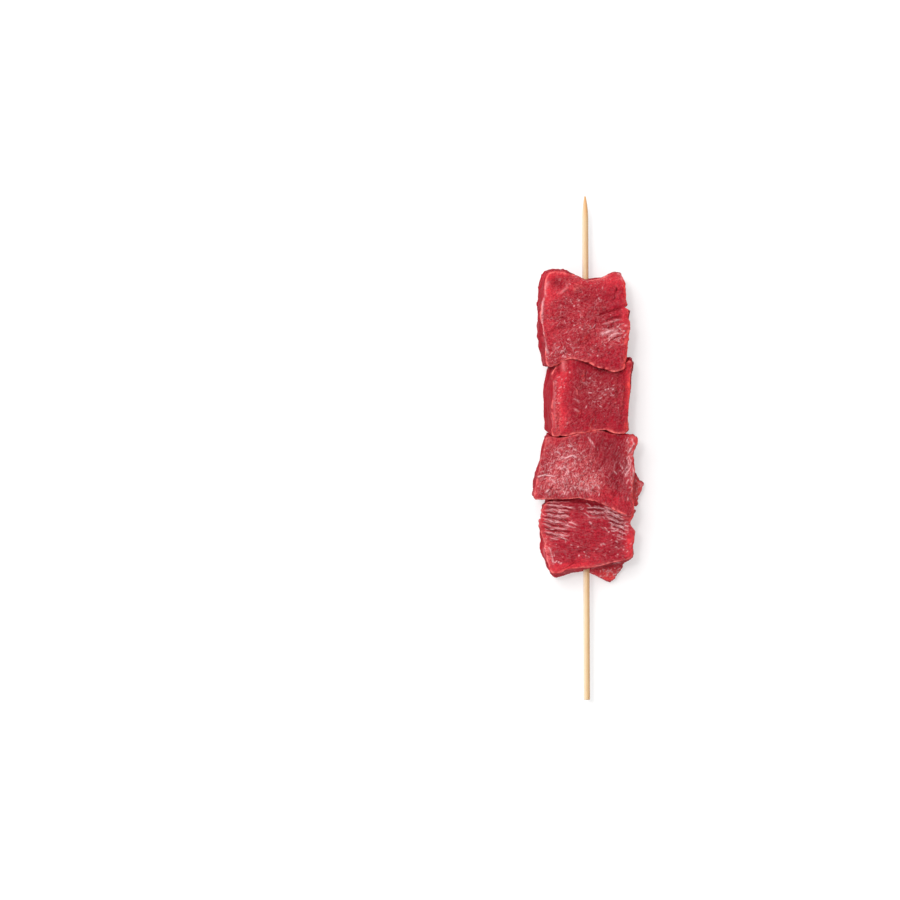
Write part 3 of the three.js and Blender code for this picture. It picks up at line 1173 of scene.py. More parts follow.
@dataclass
class BeefCube:
    """One cube of raw beef, worked from the solid that the frame holds for it.

    Attributes:
        node: The solid's name in the frame.
        finish: How it looks.
        seed: Fixes the random draws.
        grain: The angle of the fibres from +X, in degrees.
        cut: How the knife went through the muscle.
        dents: Hollows of the top, and swellings where the strength is negative.
        grooves: Creases and ridges of the top.
        sinews: Patches of pale threads.
        haze: Patches of a whitish layer, partly a painted sheen.
        dark_meat_and_shade: Patches of darker meat, and of painted shade in hollows and under a neighbour's
            edge.
        flush: Patches of smooth bright meat, and of painted light on edges and on low parts in shade.
        gloss: Patches of wet meat.
        glint_flecks: Tiny white specks: painted glints, partly specks of fat.
        torn: Patches of torn, lumpy meat.
        evened: Patches that are evened out before the grooves go in.
        nudges: Spots of the sides that are pushed in or pulled out.
        brightness: How bright the painted highlight along the top's rim is.
        brims: How far the top's rim stands out over the left and the right side.
        neighbours_at: 1 where a cube is pressed against its back and its front, 0 where none is.
    """

    node: str
    finish: BeefFinish
    seed: int
    grain: float
    cut: Cut
    dents: tuple[Patch, ...] = ()
    grooves: tuple[Groove, ...] = ()
    sinews: tuple[Sinews, ...] = ()
    haze: tuple[Patch, ...] = ()
    dark_meat_and_shade: tuple[Patch, ...] = ()
    flush: tuple[Patch, ...] = ()
    gloss: tuple[Patch, ...] = ()
    glint_flecks: tuple[Plan, ...] = ()
    torn: tuple[Patch, ...] = ()
    evened: tuple[Patch, ...] = ()
    nudges: tuple[Nudge, ...] = ()
    brightness: float = 1.0
    brims: tuple[float, float] = (0.0, 0.0)
    neighbours_at: tuple[float, float] = (1.0, 1.0)
    piece: bpy.types.Object | None = field(default=None, init=False)

    VOXEL = 0.28
    CRISPNESS = 1.7
    CRISP_LIMIT = 0.6
    CONTACT = 0.15
    LAP = 0.4
    FOOT = 0.5
    # The size of a painted white speck, the strength of the painted highlight on crests and of the painted
    # shade in creases, and the least share of light on a shaded side.
    FLECK = 0.26
    CREST = 1.4
    CREASE = 0.75
    SHADED = 0.3

    # How the hole closes on the stick: the gap that stays, how softly and how far round it.
    TIGHTNESS = 0.02
    PULL = 0.9
    PULL_REACH = 6.0

    # The slope of the surface, as its normal's z, where the painted highlight along the rim is brightest, and
    # its spread.
    RIM_SLOPE = 0.6
    RIM_WIDTH = 0.19

    # Rounds of evening out, which say how widely a point is compared with its surroundings.
    FACET_ROUNDS = 7
    EVEN_ROUNDS = 34
    CRISP_ROUNDS = 80
    EDGE_ROUNDS = 34
    OUTER_ROUNDS = 120
    HOLLOW_ROUNDS = 22
    RIM_ROUNDS = 12
    LEAN_ROUNDS = 60
    BAND_ROUNDS = 70

    # Depths under the top, between which each effect rises to its full strength.
    GROOVED = (7.0, 1.0)
    RIM = (7.0, 3.0)
    GLOWING = (8.0, 2.5)
    LIGHT = (9.0, 4.0)
    BRIM = (8.0, 3.0)
    LAPPED = (4.0, 1.5)

    # The relief of the meat.
    BEND = Lumps(31.0, 6.0, 0.8)
    SWELL = Lumps(0.0, 6.5, 0.1)
    SIDE_SWELL = Lumps(35.0, 9.0, 0.45)
    SIDE_SQUEEZE = (1.0, 1.0, 1.6)
    BUNDLES = (Lumps(0.0, 1.9, 0.05), Lumps(9.0, 1.0, 0.05))
    PATCHY = Lumps(50.0, 8.0)
    CALM = Lumps(60.0, 5.0)
    GRIT = Lumps(5.0, 0.7)
    GRIT_HEIGHTS = (0.03, 0.05)
    RAGGED = (Lumps(3.0, 1.5, 0.14), Lumps(7.0, 0.75, 0.18))
    RIPPED = (Lumps(13.0, 2.2, 0.5), Lumps(17.0, 1.1, 0.3))
    LAYERS = (Lumps(70.0, 2.4, 0.16), Lumps(90.0, 1.1, 0.1))
    LAYER_SQUEEZE = (0.16, 0.16, 1.0)
    THREAD_HEIGHT = 0.05

    # How the lines stray, and how the painted highlight along the rim and the painted glow of the lit edges
    # and of the torn meat break up.
    STRAY = (Lumps(80.0, 1.7), Lumps(85.0, 1.7))
    STRAY_REACH = 0.25
    GAPS = Lumps(66.0, 1.3)
    BROKEN = Lumps(21.0, 4.0, 0.7)
    CHIPPED = Lumps(23.0, 1.3, 0.9)
    TATTERED = Lumps(44.0, 2.5)
    BAND = Lumps(27.0, 2.2, 0.6)

    def build(self) -> None:
        """Makes the cube's mesh and works its surface."""
        self.piece = self._even_copy()
        skin = Skin(self.piece.data)
        skin.relax(self.FACET_ROUNDS)
        self._even_out(skin)
        self._sharpen(skin)
        self._press(skin)
        blank = Blank(skin, self.seed)
        marks = self._carve(skin, blank)
        edge = smooth_step(skin.bulge(self.EDGE_ROUNDS), 0.06, 0.3)
        edge *= smooth_step(blank.points[:, 2], 4.0, 10.0)
        outer = smooth_step(skin.bulge(self.OUTER_ROUNDS), 0.1, 0.45)
        torn = np.clip(total(self.torn, blank.plan), 0.0, 1.0)
        relief = self._relief(blank, edge, torn, marks.sinew)
        skin.points += blank.facing * relief[:, None]
        self._close_on_stick(skin)
        settled = smooth_step(blank.points[:, 2], 0.0, self.FOOT)
        skin.points = blank.points + (skin.points - blank.points) * settled[:, None]
        skin.points[:, 2] = np.maximum(skin.points[:, 2], 0.0)
        self._paint_light(skin, blank, outer, torn)
        self._paint_meat(skin, blank, torn, marks)
        skin.store()
        self.piece.data.shade_smooth()

    def dress(self, effects: Effects) -> None:
        """Gives the cube its finish and its place in the frame.

        Args:
            effects: The shared node groups.
        """
        self.piece.data.materials.clear()
        self.piece.data.materials.append(self.finish.material(f"raw_beef_{self.node}", effects))
        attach(self.piece, "root")
        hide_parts(self.node)
        log.info("%s: %d points, %s", self.piece.name, len(self.piece.data.vertices), self.cut.value)

    def _even_copy(self) -> bpy.types.Object:
        """Copies the solid's mesh and gives the copy an even, fine mesh.

        Returns:
            The new piece.
        """
        rough = put(f"rough_{self.node}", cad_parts[self.node].data.copy())
        remesh = rough.modifiers.new("even", "REMESH")
        remesh.mode = "VOXEL"
        remesh.voxel_size = self.VOXEL * MM
        even = rough.evaluated_get(bpy.context.evaluated_depsgraph_get())
        mesh = bpy.data.meshes.new_from_object(even)
        mesh.name = f"meat_{self.node[-1]}"
        bpy.data.objects.remove(rough)
        return put(mesh.name, mesh)

    def _even_out(self, skin: Skin) -> None:
        """Evens out the patches that get their grooves anew.

        Args:
            skin: The cube's surface.
        """
        if self.evened:
            share = np.clip(total(self.evened, skin.points[:, :2]), 0.0, 1.0)
            share *= smooth_step(skin.points[:, 2], 0.5, 2.0)
            skin.points += share[:, None] * (skin.spread(skin.points, self.EVEN_ROUNDS) - skin.points)

    def _sharpen(self, skin: Skin) -> None:
        """Gives the knife's edges back their crispness, clear of the foot and of the stick.

        Args:
            skin: The cube's surface.
        """
        away = np.hypot(skin.points[:, 0], skin.points[:, 2] - STICK_AXIS_HEIGHT)
        gain = self.CRISPNESS * smooth_step(skin.points[:, 2], 1.0, 14.0) * smooth_step(away, 2.5, 5.5)
        push = gain[:, None] * (skin.points - skin.spread(skin.points, self.CRISP_ROUNDS))
        length = np.linalg.norm(push, axis=1, keepdims=True)
        skin.points += push * np.minimum(1.0, self.CRISP_LIMIT / np.maximum(length, 0.001))

    def _press(self, skin: Skin) -> None:
        """Presses the cube against its neighbours, laps its front rim over the next, and sets the brims out.

        Args:
            skin: The cube's surface.
        """
        forward = skin.normals()[:, 1]
        sideward = skin.normals()[:, 0]
        back, front = self.neighbours_at
        left, right = self.brims
        top = skin.points[:, 2].max()
        brim, lap = (
            smooth_step(skin.points[:, 2], top - low, top - high) for low, high in (self.BRIM, self.LAPPED)
        )
        skin.points[:, 0] -= left * brim * smooth_step(-sideward, 0.1, 0.6)
        skin.points[:, 0] += right * brim * smooth_step(sideward, 0.1, 0.6)
        lap = self.LAP * lap * smooth_step(-forward, 0.1, 0.6)
        skin.points[:, 1] += back * self.CONTACT * smooth_step(forward, 0.6, 0.95)
        skin.points[:, 1] -= front * (self.CONTACT * smooth_step(-forward, 0.6, 0.95) + lap)

    def _carve(self, skin: Skin, blank: Blank) -> Marks:
        """Sinks the dents and the grooves in, lays the threads on and makes the nudges.

        Args:
            skin: The cube's surface.
            blank: The cube before its relief.

        Returns:
            What the carving leaves at each point.
        """
        strayed = blank.plan + self.STRAY_REACH * np.stack([blank.lumps(way) for way in self.STRAY], axis=1)
        drop = total(self.dents, blank.plan)
        sinew, glint_flecks, creased = np.zeros((3, len(drop)))
        gaps = smooth_step(blank.lumps(self.GAPS), -0.45, 0.45)
        upward = blank.upward
        for groove in self.grooves:
            shape = groove.shape(strayed)
            drop += groove.depth * shape
            # The grooves paint pale lines, a painted highlight on crests and ridges with a whiter core, and
            # painted shade in creases.
            sinew = np.maximum(sinew, groove.pale * shape * upward)
            glint_flecks = np.maximum(glint_flecks, self.CREST * groove.pale * shape ** 2 * gaps * upward)
            creased = np.maximum(creased, self.CREASE * shape * upward * min(max(groove.depth, 0.0), 1.0))
        for patch in self.sinews:
            sinew = np.maximum(sinew, patch.paint(blank.plan) * upward)
        # Painted glints, partly specks of fat, at the listed places.
        for glint_fleck in self.glint_flecks:
            distance = np.hypot(blank.plan[:, 0] - glint_fleck[0], blank.plan[:, 1] - glint_fleck[1])
            glint_flecks = np.maximum(glint_flecks, np.exp(-(distance / self.FLECK) ** 2) * upward)
        skin.points[:, 2] -= drop * blank.near_top(*self.GROOVED)
        for nudge in self.nudges:
            skin.points[:, :2] += nudge.move(blank.plan)
        return Marks(sinew, glint_flecks, creased)

    def _relief(self, blank: Blank, edge: np.ndarray, torn: np.ndarray, sinew: np.ndarray) -> np.ndarray:
        """Works out the meat's own relief.

        Args:
            blank: The cube before its relief.
            edge: How far each point is on an edge, from 0 to 1.
            torn: How torn the meat is at each point, from 0 to 1.
            sinew: How far a thread covers each point, from 0 to 1.

        Returns:
            How far each point moves outward.
        """
        points, noise, flank = blank.points, blank.noise, blank.flank
        turn = math.radians(self.grain)
        bent = points + blank.lumps(self.BEND)[:, None]
        along = bent[:, 0] * math.cos(turn) + bent[:, 1] * math.sin(turn)
        across = -bent[:, 0] * math.sin(turn) + bent[:, 1] * math.cos(turn)
        stretch, strength = self.cut.fibres
        fibre_space = np.stack([along / stretch, across, bent[:, 2]], axis=1)
        lumps = self.SWELL.height * noise.layered(points, self.SWELL.size, 2)
        bundles = strength * noise.lumps(fibre_space, *self.BUNDLES)
        calm = smooth_step(blank.lumps(self.CALM), -0.45, 0.35)
        low, rise = self.GRIT_HEIGHTS
        grit = (low + rise * calm) * blank.lumps(self.GRIT)
        ragged = edge * blank.lumps(*self.RAGGED)
        ripped = torn * blank.lumps(*self.RIPPED)
        patchy = smooth_step(blank.lumps(self.PATCHY), -0.5, 0.5)
        layers = flank * noise.lumps(bent * np.array(self.LAYER_SQUEEZE), *self.LAYERS)
        squeezed = points * np.array(self.SIDE_SQUEEZE) + self.SIDE_SWELL.shift
        layers += blank.sideways * self.SIDE_SWELL.height * noise.layered(squeezed, self.SIDE_SWELL.size, 2)
        on_top = bundles * (0.5 + patchy) * (1.0 - 0.5 * flank)
        return lumps + on_top + grit + ragged + ripped + layers + self.THREAD_HEIGHT * sinew

    def _close_on_stick(self, skin: Skin) -> None:
        """Draws the meat in round the stick, so that the hole closes on it.

        Args:
            skin: The cube's surface.
        """
        offset = skin.points[:, [0, 2]] - np.array([0.0, STICK_AXIS_HEIGHT])
        radius = np.linalg.norm(offset, axis=1)
        tight = STICK_RADIUS + self.TIGHTNESS
        pull = (HOLE_RADIUS - tight) * np.exp(-np.maximum(radius - HOLE_RADIUS, 0.0) / self.PULL)
        wanted = np.maximum(radius - pull, tight)
        near = radius < HOLE_RADIUS + self.PULL_REACH
        factor = np.where(near, wanted / np.maximum(radius, 0.1), 1.0)
        skin.points[:, 0] = offset[:, 0] * factor
        skin.points[:, 2] = offset[:, 1] * factor + STICK_AXIS_HEIGHT

    def _paint_light(self, skin: Skin, blank: Blank, outer: np.ndarray, torn: np.ndarray) -> None:
        """Paints light: a highlight along the top's rim, and a glow on the edges of the lit side and on torn
        meat.

        Args:
            skin: The cube's surface.
            blank: The cube before its relief.
            outer: How far each point is on an outer edge, from 0 to 1.
            torn: How torn the meat is at each point, from 0 to 1.
        """
        turned = skin.spread(blank.facing, self.RIM_ROUNDS)
        leaning = skin.spread(blank.facing, self.LEAN_ROUNDS)
        # The painted highlight along the top's rim, stronger on edges that face the front and the left,
        # weaker on the lit side.
        brink = np.exp(-((turned[:, 2] - self.RIM_SLOPE) / self.RIM_WIDTH) ** 2) * blank.near_top(*self.RIM)
        brink *= outer
        lit_side = smooth_step(leaning[:, 0] - 0.3 * leaning[:, 1], 0.3, 0.65)
        broken = 0.6 + blank.lumps(self.BROKEN) + blank.lumps(self.CHIPPED)
        seen = 0.65 + 0.8 * smooth_step(-turned[:, 1], 0.1, 0.5) + 0.5 * smooth_step(-turned[:, 0], 0.1, 0.5)
        skin.paint("rim", self.brightness * brink * (1.0 - 0.4 * lit_side) * broken * seen)
        # A painted glow on the upper edges of the side that faces the light.
        shining = lit_side * blank.near_top(*self.GLOWING) * (1.0 - smooth_step(turned[:, 2], 0.72, 0.9))
        # A painted glow on torn meat, weaker where little light reaches it.
        ripped = torn * (0.45 + 0.55 * smooth_step(blank.lumps(self.TATTERED), -0.3, 0.4))
        ripped *= self._open_to_light(blank)
        # A painted glow in a band along the rim on the lit side.
        band = 1.6 * skin.spread(brink, self.BAND_ROUNDS) * lit_side
        band *= 0.7 + blank.lumps(self.BAND)
        skin.paint("glow", np.maximum(np.maximum(shining, 0.9 * ripped), band))

    def _open_to_light(self, blank: Blank) -> np.ndarray:
        """Works out how much light reaches each point: all of it on top, and little low on a side.

        Args:
            blank: The cube before its relief.

        Returns:
            The share of the light, up to 1.
        """
        upward = smooth_step(blank.facing[:, 2], 0.05, 0.4)
        return np.maximum(np.maximum(blank.near_top(*self.LIGHT), upward), self.SHADED)

    def _paint_meat(self, skin: Skin, blank: Blank, torn: np.ndarray, marks: Marks) -> None:
        """Paints the patches of the meat, some of them painted light and shade, its threads, and painted
        shade in its hollows and creases.

        Args:
            skin: The cube's surface.
            blank: The cube before its relief.
            torn: How torn the meat is at each point, from 0 to 1.
            marks: What the carving left.
        """
        # Darker meat, and painted shade in hollows and under a neighbour's edge.
        skin.paint("dark_meat_and_shade", total(self.dark_meat_and_shade, blank.plan) * blank.upward)
        # Smooth bright meat and painted light, painted only as far as light reaches.
        skin.paint("flush", total(self.flush, blank.plan) * self._open_to_light(blank))
        skin.paint("gloss", total(self.gloss, blank.plan) * blank.upward)
        skin.paint("glint_fleck", marks.glint_flecks)
        # Painted shade in the hollows and the creases.
        sunk = smooth_step(-skin.bulge(self.HOLLOW_ROUNDS), 0.1, 0.35) * (1.0 - 0.6 * torn)
        skin.paint("hollow", np.maximum(sunk, marks.creased))
        skin.paint("flank", blank.flank)
        skin.paint("sinew", marks.sinew)
        # A whitish layer, partly a painted sheen.
        skin.paint("haze", total(self.haze, blank.plan) * blank.upward)


@dataclass
class BambooStick:
    """The round bamboo stick, sharpened at +Y and sawn off at -Y.

    Attributes:
        finish: How it looks.
        length: From the point to the sawn end.
        radius: Its half-thickness.
        point_length: The length of the sharpened end.
        point_belly: How far the sharpened end bulges over a straight cone.
        tip_radius: The half-thickness at the very tip.
        sides: Points round it.
        rows: Rows of points along it.
        seed: Fixes the random draws.
    """

    finish: BambooFinish
    length: float = 200.0
    radius: float = STICK_RADIUS
    point_length: float = 11.0
    point_belly: float = 0.3
    tip_radius: float = 0.28
    sides: int = 56
    rows: int = 620
    seed: int = 5
    piece: bpy.types.Object | None = field(default=None, init=False)

    CROWDING = 0.018
    FIBRE_STRETCH = 22.0
    SAWN_DEPTH = 0.25
    SAWN_ROUNDING = 0.08
    SAWN_ROUGHNESS = 0.05
    SAWN_GRAIN = 0.22
    SAWN_RINGS = 5
    TIP_RINGS = 2
    SHARPENED = (1.05, 0.35)
    FIBRES = (Lumps(0.0, 0.28, 0.02), Lumps(4.0, 0.16, 0.014))
    FACETS = Lumps(8.0, 1.1, 0.025)
    FACET_SQUEEZE = (1.0, 0.4, 1.0)

    def radius_at(self, along: np.ndarray) -> np.ndarray:
        """Gives the stick's half-thickness.

        Args:
            along: The distance from the sawn end.

        Returns:
            The half-thickness there.
        """
        share = np.clip((self.length - along) / self.point_length, 0.0, 1.0)
        cone = self.tip_radius + (self.radius - self.tip_radius) * share
        belly = self.point_belly * np.sin(math.pi * share)
        sawn = self.SAWN_ROUNDING * np.exp(-(along / self.SAWN_DEPTH) ** 2)
        return cone + belly - sawn

    def build(self) -> None:
        """Makes the stick's mesh, with its fibres, its point and its sawn end."""
        share = np.linspace(0.0, 1.0, self.rows)
        along = self.length * (share - self.CROWDING * np.sin(2.0 * math.pi * share))
        around = np.linspace(0.0, 2.0 * math.pi, self.sides, endpoint=False)
        grid_along, grid_around = np.meshgrid(along, around, indexing="ij")
        radius = self.radius_at(grid_along)
        noise = GradientNoise(self.seed)
        ring = np.stack([
            self.radius * np.cos(grid_around), grid_along / self.FIBRE_STRETCH,
            self.radius * np.sin(grid_around),
        ], axis=-1).reshape(-1, 3)
        fibres = noise.lumps(ring, *self.FIBRES)
        facets = noise.lumps(ring * np.array(self.FACET_SQUEEZE), self.FACETS)
        radius = radius + (fibres + facets).reshape(radius.shape)
        points = np.stack([
            radius * np.cos(grid_around),
            grid_along - self.length / 2.0,
            radius * np.sin(grid_around) + STICK_AXIS_HEIGHT,
        ], axis=-1).reshape(-1, 3)
        sawn, sawn_faces = self._cap(
            points[: self.sides], 0, len(points), self.SAWN_RINGS, noise, self.SAWN_ROUGHNESS,
        )
        tip_start = (self.rows - 1) * self.sides
        start = len(points) + len(sawn)
        tip, tip_faces = self._cap(points[tip_start:], tip_start, start, self.TIP_RINGS, noise, 0.0)
        points = np.concatenate([points, sawn, tip])
        mesh = bpy.data.meshes.new("bamboo_stick")
        faces = self._tube_faces() + [face[::-1] for face in tip_faces] + sawn_faces
        mesh.from_pydata([tuple(point) for point in points * MM], [], faces)
        mesh.validate()
        mesh.shade_smooth()
        starts, full = (self.length / 2.0 - self.point_length * share for share in self.SHARPENED)
        layer = mesh.attributes.new("sharpened", "FLOAT", "POINT")
        layer.data.foreach_set("value", smooth_step(points[:, 1], starts, full).astype(np.float32))
        self.piece = put(mesh.name, mesh)

    def dress(self, effects: Effects) -> None:
        """Gives the stick its finish and its place in the frame.

        Args:
            effects: The shared node groups.
        """
        self.piece.data.materials.append(self.finish.material("bamboo", effects))
        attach(self.piece, "root")
        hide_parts(STICK_NODE)
        log.info("%s: %d points", self.piece.name, len(self.piece.data.vertices))

    def _tube_faces(self) -> list[tuple[int, ...]]:
        """Joins the rows of points into faces that look outward.

        Returns:
            The faces.
        """
        faces = []
        for row in range(self.rows - 1):
            for side in range(self.sides):
                following = (side + 1) % self.sides
                low, high = row * self.sides, (row + 1) * self.sides
                faces.append((low + following, low + side, high + side, high + following))
        return faces

    def _cap(self, rim: np.ndarray, rim_start: int, start: int, rings: int, noise: GradientNoise,
             rough: float) -> tuple[np.ndarray, list[tuple[int, ...]]]:
        """Closes an end with rings that shrink to a middle point.

        Args:
            rim: The last row of points.
            rim_start: The number of its first point.
            start: The number of the cap's first new point.
            rings: How many rings, the rim not counted.
            noise: The stick's noise.
            rough: How rough the cut is.

        Returns:
            The new points and the faces, seen as a start cap.
        """
        middle = rim.mean(axis=0)
        rows = [middle + (rim - middle) * (1.0 - ring / rings) for ring in range(1, rings)]
        added = np.concatenate(rows + [middle[None]])
        added[:, 1] += rough * noise.at(added * np.array([1.0, 0.0, 1.0]), self.SAWN_GRAIN)
        faces: list[tuple[int, ...]] = []
        outer = rim_start
        for ring in range(rings - 1):
            inner = start + ring * self.sides
            for side in range(self.sides):
                following = (side + 1) % self.sides
                faces.append((outer + side, outer + following, inner + following, inner + side))
            outer = inner
        last = start + (rings - 1) * self.sides
        faces += [(outer + side, outer + (side + 1) % self.sides, last) for side in range(self.sides)]
        return added, faces


@dataclass(frozen=True)
class Lamp:
    """A broad soft light above.

    Attributes:
        name: Its name.
        lean: Where it stands, as x and y for each unit of height.
        strength: Its strength.
        angle: How broad it looks from the food, in degrees.
    """

    name: str
    lean: Plan
    strength: float
    angle: float

    def hang(self) -> None:
        """Puts the light into the scene."""
        data = bpy.data.lights.new(self.name, "SUN")
        data.energy = self.strength
        data.angle = math.radians(self.angle)
        x, y = self.lean
        light = put(self.name, data)
        light.rotation_euler = (math.atan(math.hypot(x, y)), 0.0, math.atan2(y, x) + math.pi / 2.0)


@dataclass
class Studio:
    """The pale floor, the soft light and the camera straight above.

    Attributes:
        view_width: The width that the camera sees at the stick's height.
        view_centre: The middle of what it sees.
        distance: Its height above the stick.
        roll: Its turn about its own axis, in degrees.
        lamps: The lights.
    """

    view_width: float = 357.5
    view_centre: Plan = (-54.0, -0.6)
    distance: float = 2200.0
    roll: float = -0.2
    lamps: tuple[Lamp, ...] = (
        Lamp("key", (-0.2, 0.28), 1.1, 20.0), Lamp("sparkle", (-0.15, 0.12), 0.6, 5.0),
    )

    SENSOR = 36.0
    FAR = 20.0
    FLOOR = 3.0
    FLOOR_GREY = 0.56
    FLOOR_GLOW = 0.42
    BRIGHTEST = (-0.5, 0.2, 0.84)
    WHITE = (1.0, 1.0, 1.0, 1.0)

    def build(self) -> None:
        """Makes the floor, the lights and the camera."""
        scene = bpy.context.scene
        scene.view_settings.view_transform = "Standard"
        scene.view_settings.look = "None"
        half = self.FLOOR / 2.0
        mesh = bpy.data.meshes.new("floor")
        corners = [(-half, -half, 0.0), (half, -half, 0.0), (half, half, 0.0), (-half, half, 0.0)]
        mesh.from_pydata(corners, [], [(0, 1, 2, 3)])
        floor = put(mesh.name, mesh)
        mesh.materials.append(self._floor_material())
        for lamp in self.lamps:
            lamp.hang()
        scene.world = self._world()
        self._camera()

    def _world(self) -> bpy.types.World:
        """Builds the soft light from all round, brightest above and to the left.

        Returns:
            The world.
        """
        world = bpy.data.worlds.new("studio")
        world.use_nodes = True
        bench = Bench(world.node_tree)
        where = bench.place("ShaderNodeTexCoord").outputs["Generated"]
        towards = bench.vector("DOT_PRODUCT", where, self.BRIGHTEST, "Value")
        light = world.node_tree.nodes["Background"]
        bench.feed(light.inputs["Strength"], bench.ramp(towards, -0.2, 1.0, 0.2, 1.1))
        bench.feed(light.inputs["Color"], self.WHITE)
        return world

    def _camera(self) -> None:
        """Hangs the camera straight above."""
        data = bpy.data.cameras.new("camera")
        data.sensor_width = self.SENSOR
        data.lens = self.SENSOR * self.distance / self.view_width
        data.clip_end = self.FAR
        camera = put(data.name, data)
        height = self.distance + STICK_AXIS_HEIGHT
        camera.location = (self.view_centre[0] * MM, self.view_centre[1] * MM, height * MM)
        camera.rotation_euler = (0.0, 0.0, math.radians(self.roll))
        bpy.context.scene.camera = camera

    def _floor_material(self) -> bpy.types.Material:
        """Builds the plain white floor.

        Returns:
            The material.
        """
        made = new_material("floor")
        Bench(made.node_tree).shade(
            Base_Color=(self.FLOOR_GREY, self.FLOOR_GREY, self.FLOOR_GREY, 1.0), Roughness=0.9,
            Specular_IOR_Level=0.1, Emission_Color=self.WHITE, Emission_Strength=self.FLOOR_GLOW,
        )
        return made


def patches(*rows: tuple[float, ...]) -> tuple[Patch, ...]:
    """Describes patches.

    Args:
        rows: For each patch the x and y of its middle, its two reaches, its strength and any turn.

    Returns:
        The patches.
    """
    return tuple(Patch(row[:2], row[2:4], *row[4:]) for row in rows)


def strewn(*rows: tuple[float, ...]) -> tuple[Sinews, ...]:
    """Describes patches of threads.

    Args:
        rows: For each patch the x and y of its middle, its two reaches, and all that follows in Sinews.

    Returns:
        The patches.
    """
    return tuple(Sinews(row[:2], row[2:4], *row[4:]) for row in rows)


def creases(*rows: tuple[object, ...]) -> tuple[Groove, ...]:
    """Describes grooves.

    Args:
        rows: For each groove its line, width and depth, and its fade and paleness if it has them.

    Returns:
        The grooves.
    """
    return tuple(Groove(*row) for row in rows)


def upper_folds() -> tuple[Groove, ...]:
    """Describes the folds that the last cube gathers beside its neighbour.

    Returns:
        The crests and the furrows between them, from the left to the right.
    """
    crest_width, crest_depth = 0.5, -0.7
    furrow_width, furrow_depth = 0.55, 1.1
    fade = 0.2
    crests = (
        (((-17.6, -20.9), (-12.0, -21.3), (-5.0, -21.0)), 0.45, 0.35),
        (((-17.0, -22.1), (-9.6, -22.9), (-4.0, -24.0)), 0.5, 0.8),
        (((-17.6, -24.6), (-11.1, -24.5), (-5.6, -24.9)), 0.5, 0.6),
        (((-18.0, -26.2), (-12.6, -27.1), (-6.8, -27.6)), 0.45, 0.6),
        (((-18.2, -27.6), (-13.2, -29.1), (-7.6, -29.9)), 0.55, 0.95),
        (((-18.4, -29.4), (-13.2, -31.4), (-7.0, -32.2)), 0.5, 0.7),
        (((-17.4, -33.0), (-11.4, -34.0), (-6.6, -34.9)), 0.5, 0.8),
        (((-13.6, -34.8), (-9.8, -35.6), (-6.6, -36.4)), 0.35, 0.7),
        (((-0.6, -23.6), (4.2, -23.6), (7.6, -24.0)), 0.4, 0.9),
        (((0.2, -25.1), (4.2, -25.3), (7.9, -25.9)), 0.4, 0.7),
        (((7.4, -23.0), (11.0, -24.4), (14.4, -25.8), (17.6, -27.2)), 0.55, 0.8),
        (((7.2, -24.7), (12.1, -27.0), (15.2, -29.0)), 0.45, 0.9),
        (((7.6, -27.2), (11.5, -29.0), (15.4, -30.2)), 0.45, 0.8),
        (((8.1, -29.3), (12.0, -30.6), (15.4, -31.4)), 0.4, 0.7),
        (((12.6, -31.2), (16.7, -32.8)), 0.4, 0.8),
        (((11.6, -32.7), (15.6, -34.2)), 0.4, 0.8),
        (((12.4, -34.8), (15.8, -36.6)), 0.35, 0.6),
    )
    furrows = (
        (((-17.6, -21.5), (-11.0, -22.0), (-5.4, -22.0)), 0.35, 0.5),
        (((-17.2, -23.3), (-9.9, -23.8), (-4.5, -24.5)), 0.4, 0.7),
        (((-17.8, -25.4), (-11.4, -25.8), (-5.8, -26.0)), 0.4, 0.7),
        (((-18.2, -26.9), (-12.3, -28.1), (-6.4, -28.7)), 0.4, 0.7),
        (((-18.4, -28.5), (-13.5, -30.4), (-7.3, -31.2)), 0.4, 0.8),
        (((-18.2, -30.4), (-14.1, -32.6), (-9.3, -32.8), (-5.2, -33.1)), 0.4, 0.8),
        (((-17.0, -33.8), (-12.3, -34.9), (-7.2, -36.8)), 0.35, 0.7),
        (((-0.4, -24.4), (3.9, -24.5), (7.6, -24.9)), 0.4, 0.7),
        (((0.0, -25.9), (5.7, -26.5), (8.2, -27.2)), 0.4, 0.5),
        (((7.6, -24.2), (11.6, -25.9), (15.4, -27.3)), 0.45, 0.7),
        (((7.5, -26.2), (12.1, -28.2), (15.4, -29.6)), 0.45, 0.7),
        (((8.0, -28.4), (12.0, -29.9), (15.6, -30.8)), 0.4, 0.6),
        (((9.6, -30.5), (12.6, -31.7), (15.8, -33.4)), 0.4, 0.6),
        (((12.4, -33.6), (15.2, -35.0)), 0.4, 0.5),
    )
    raised = (
        Groove(line, crest_width * width, crest_depth * pale, fade, pale) for line, width, pale in crests
    )
    sunk = (
        Groove(line, furrow_width * width, furrow_depth * depth, fade) for line, width, depth in furrows
    )
    return (*raised, *sunk)


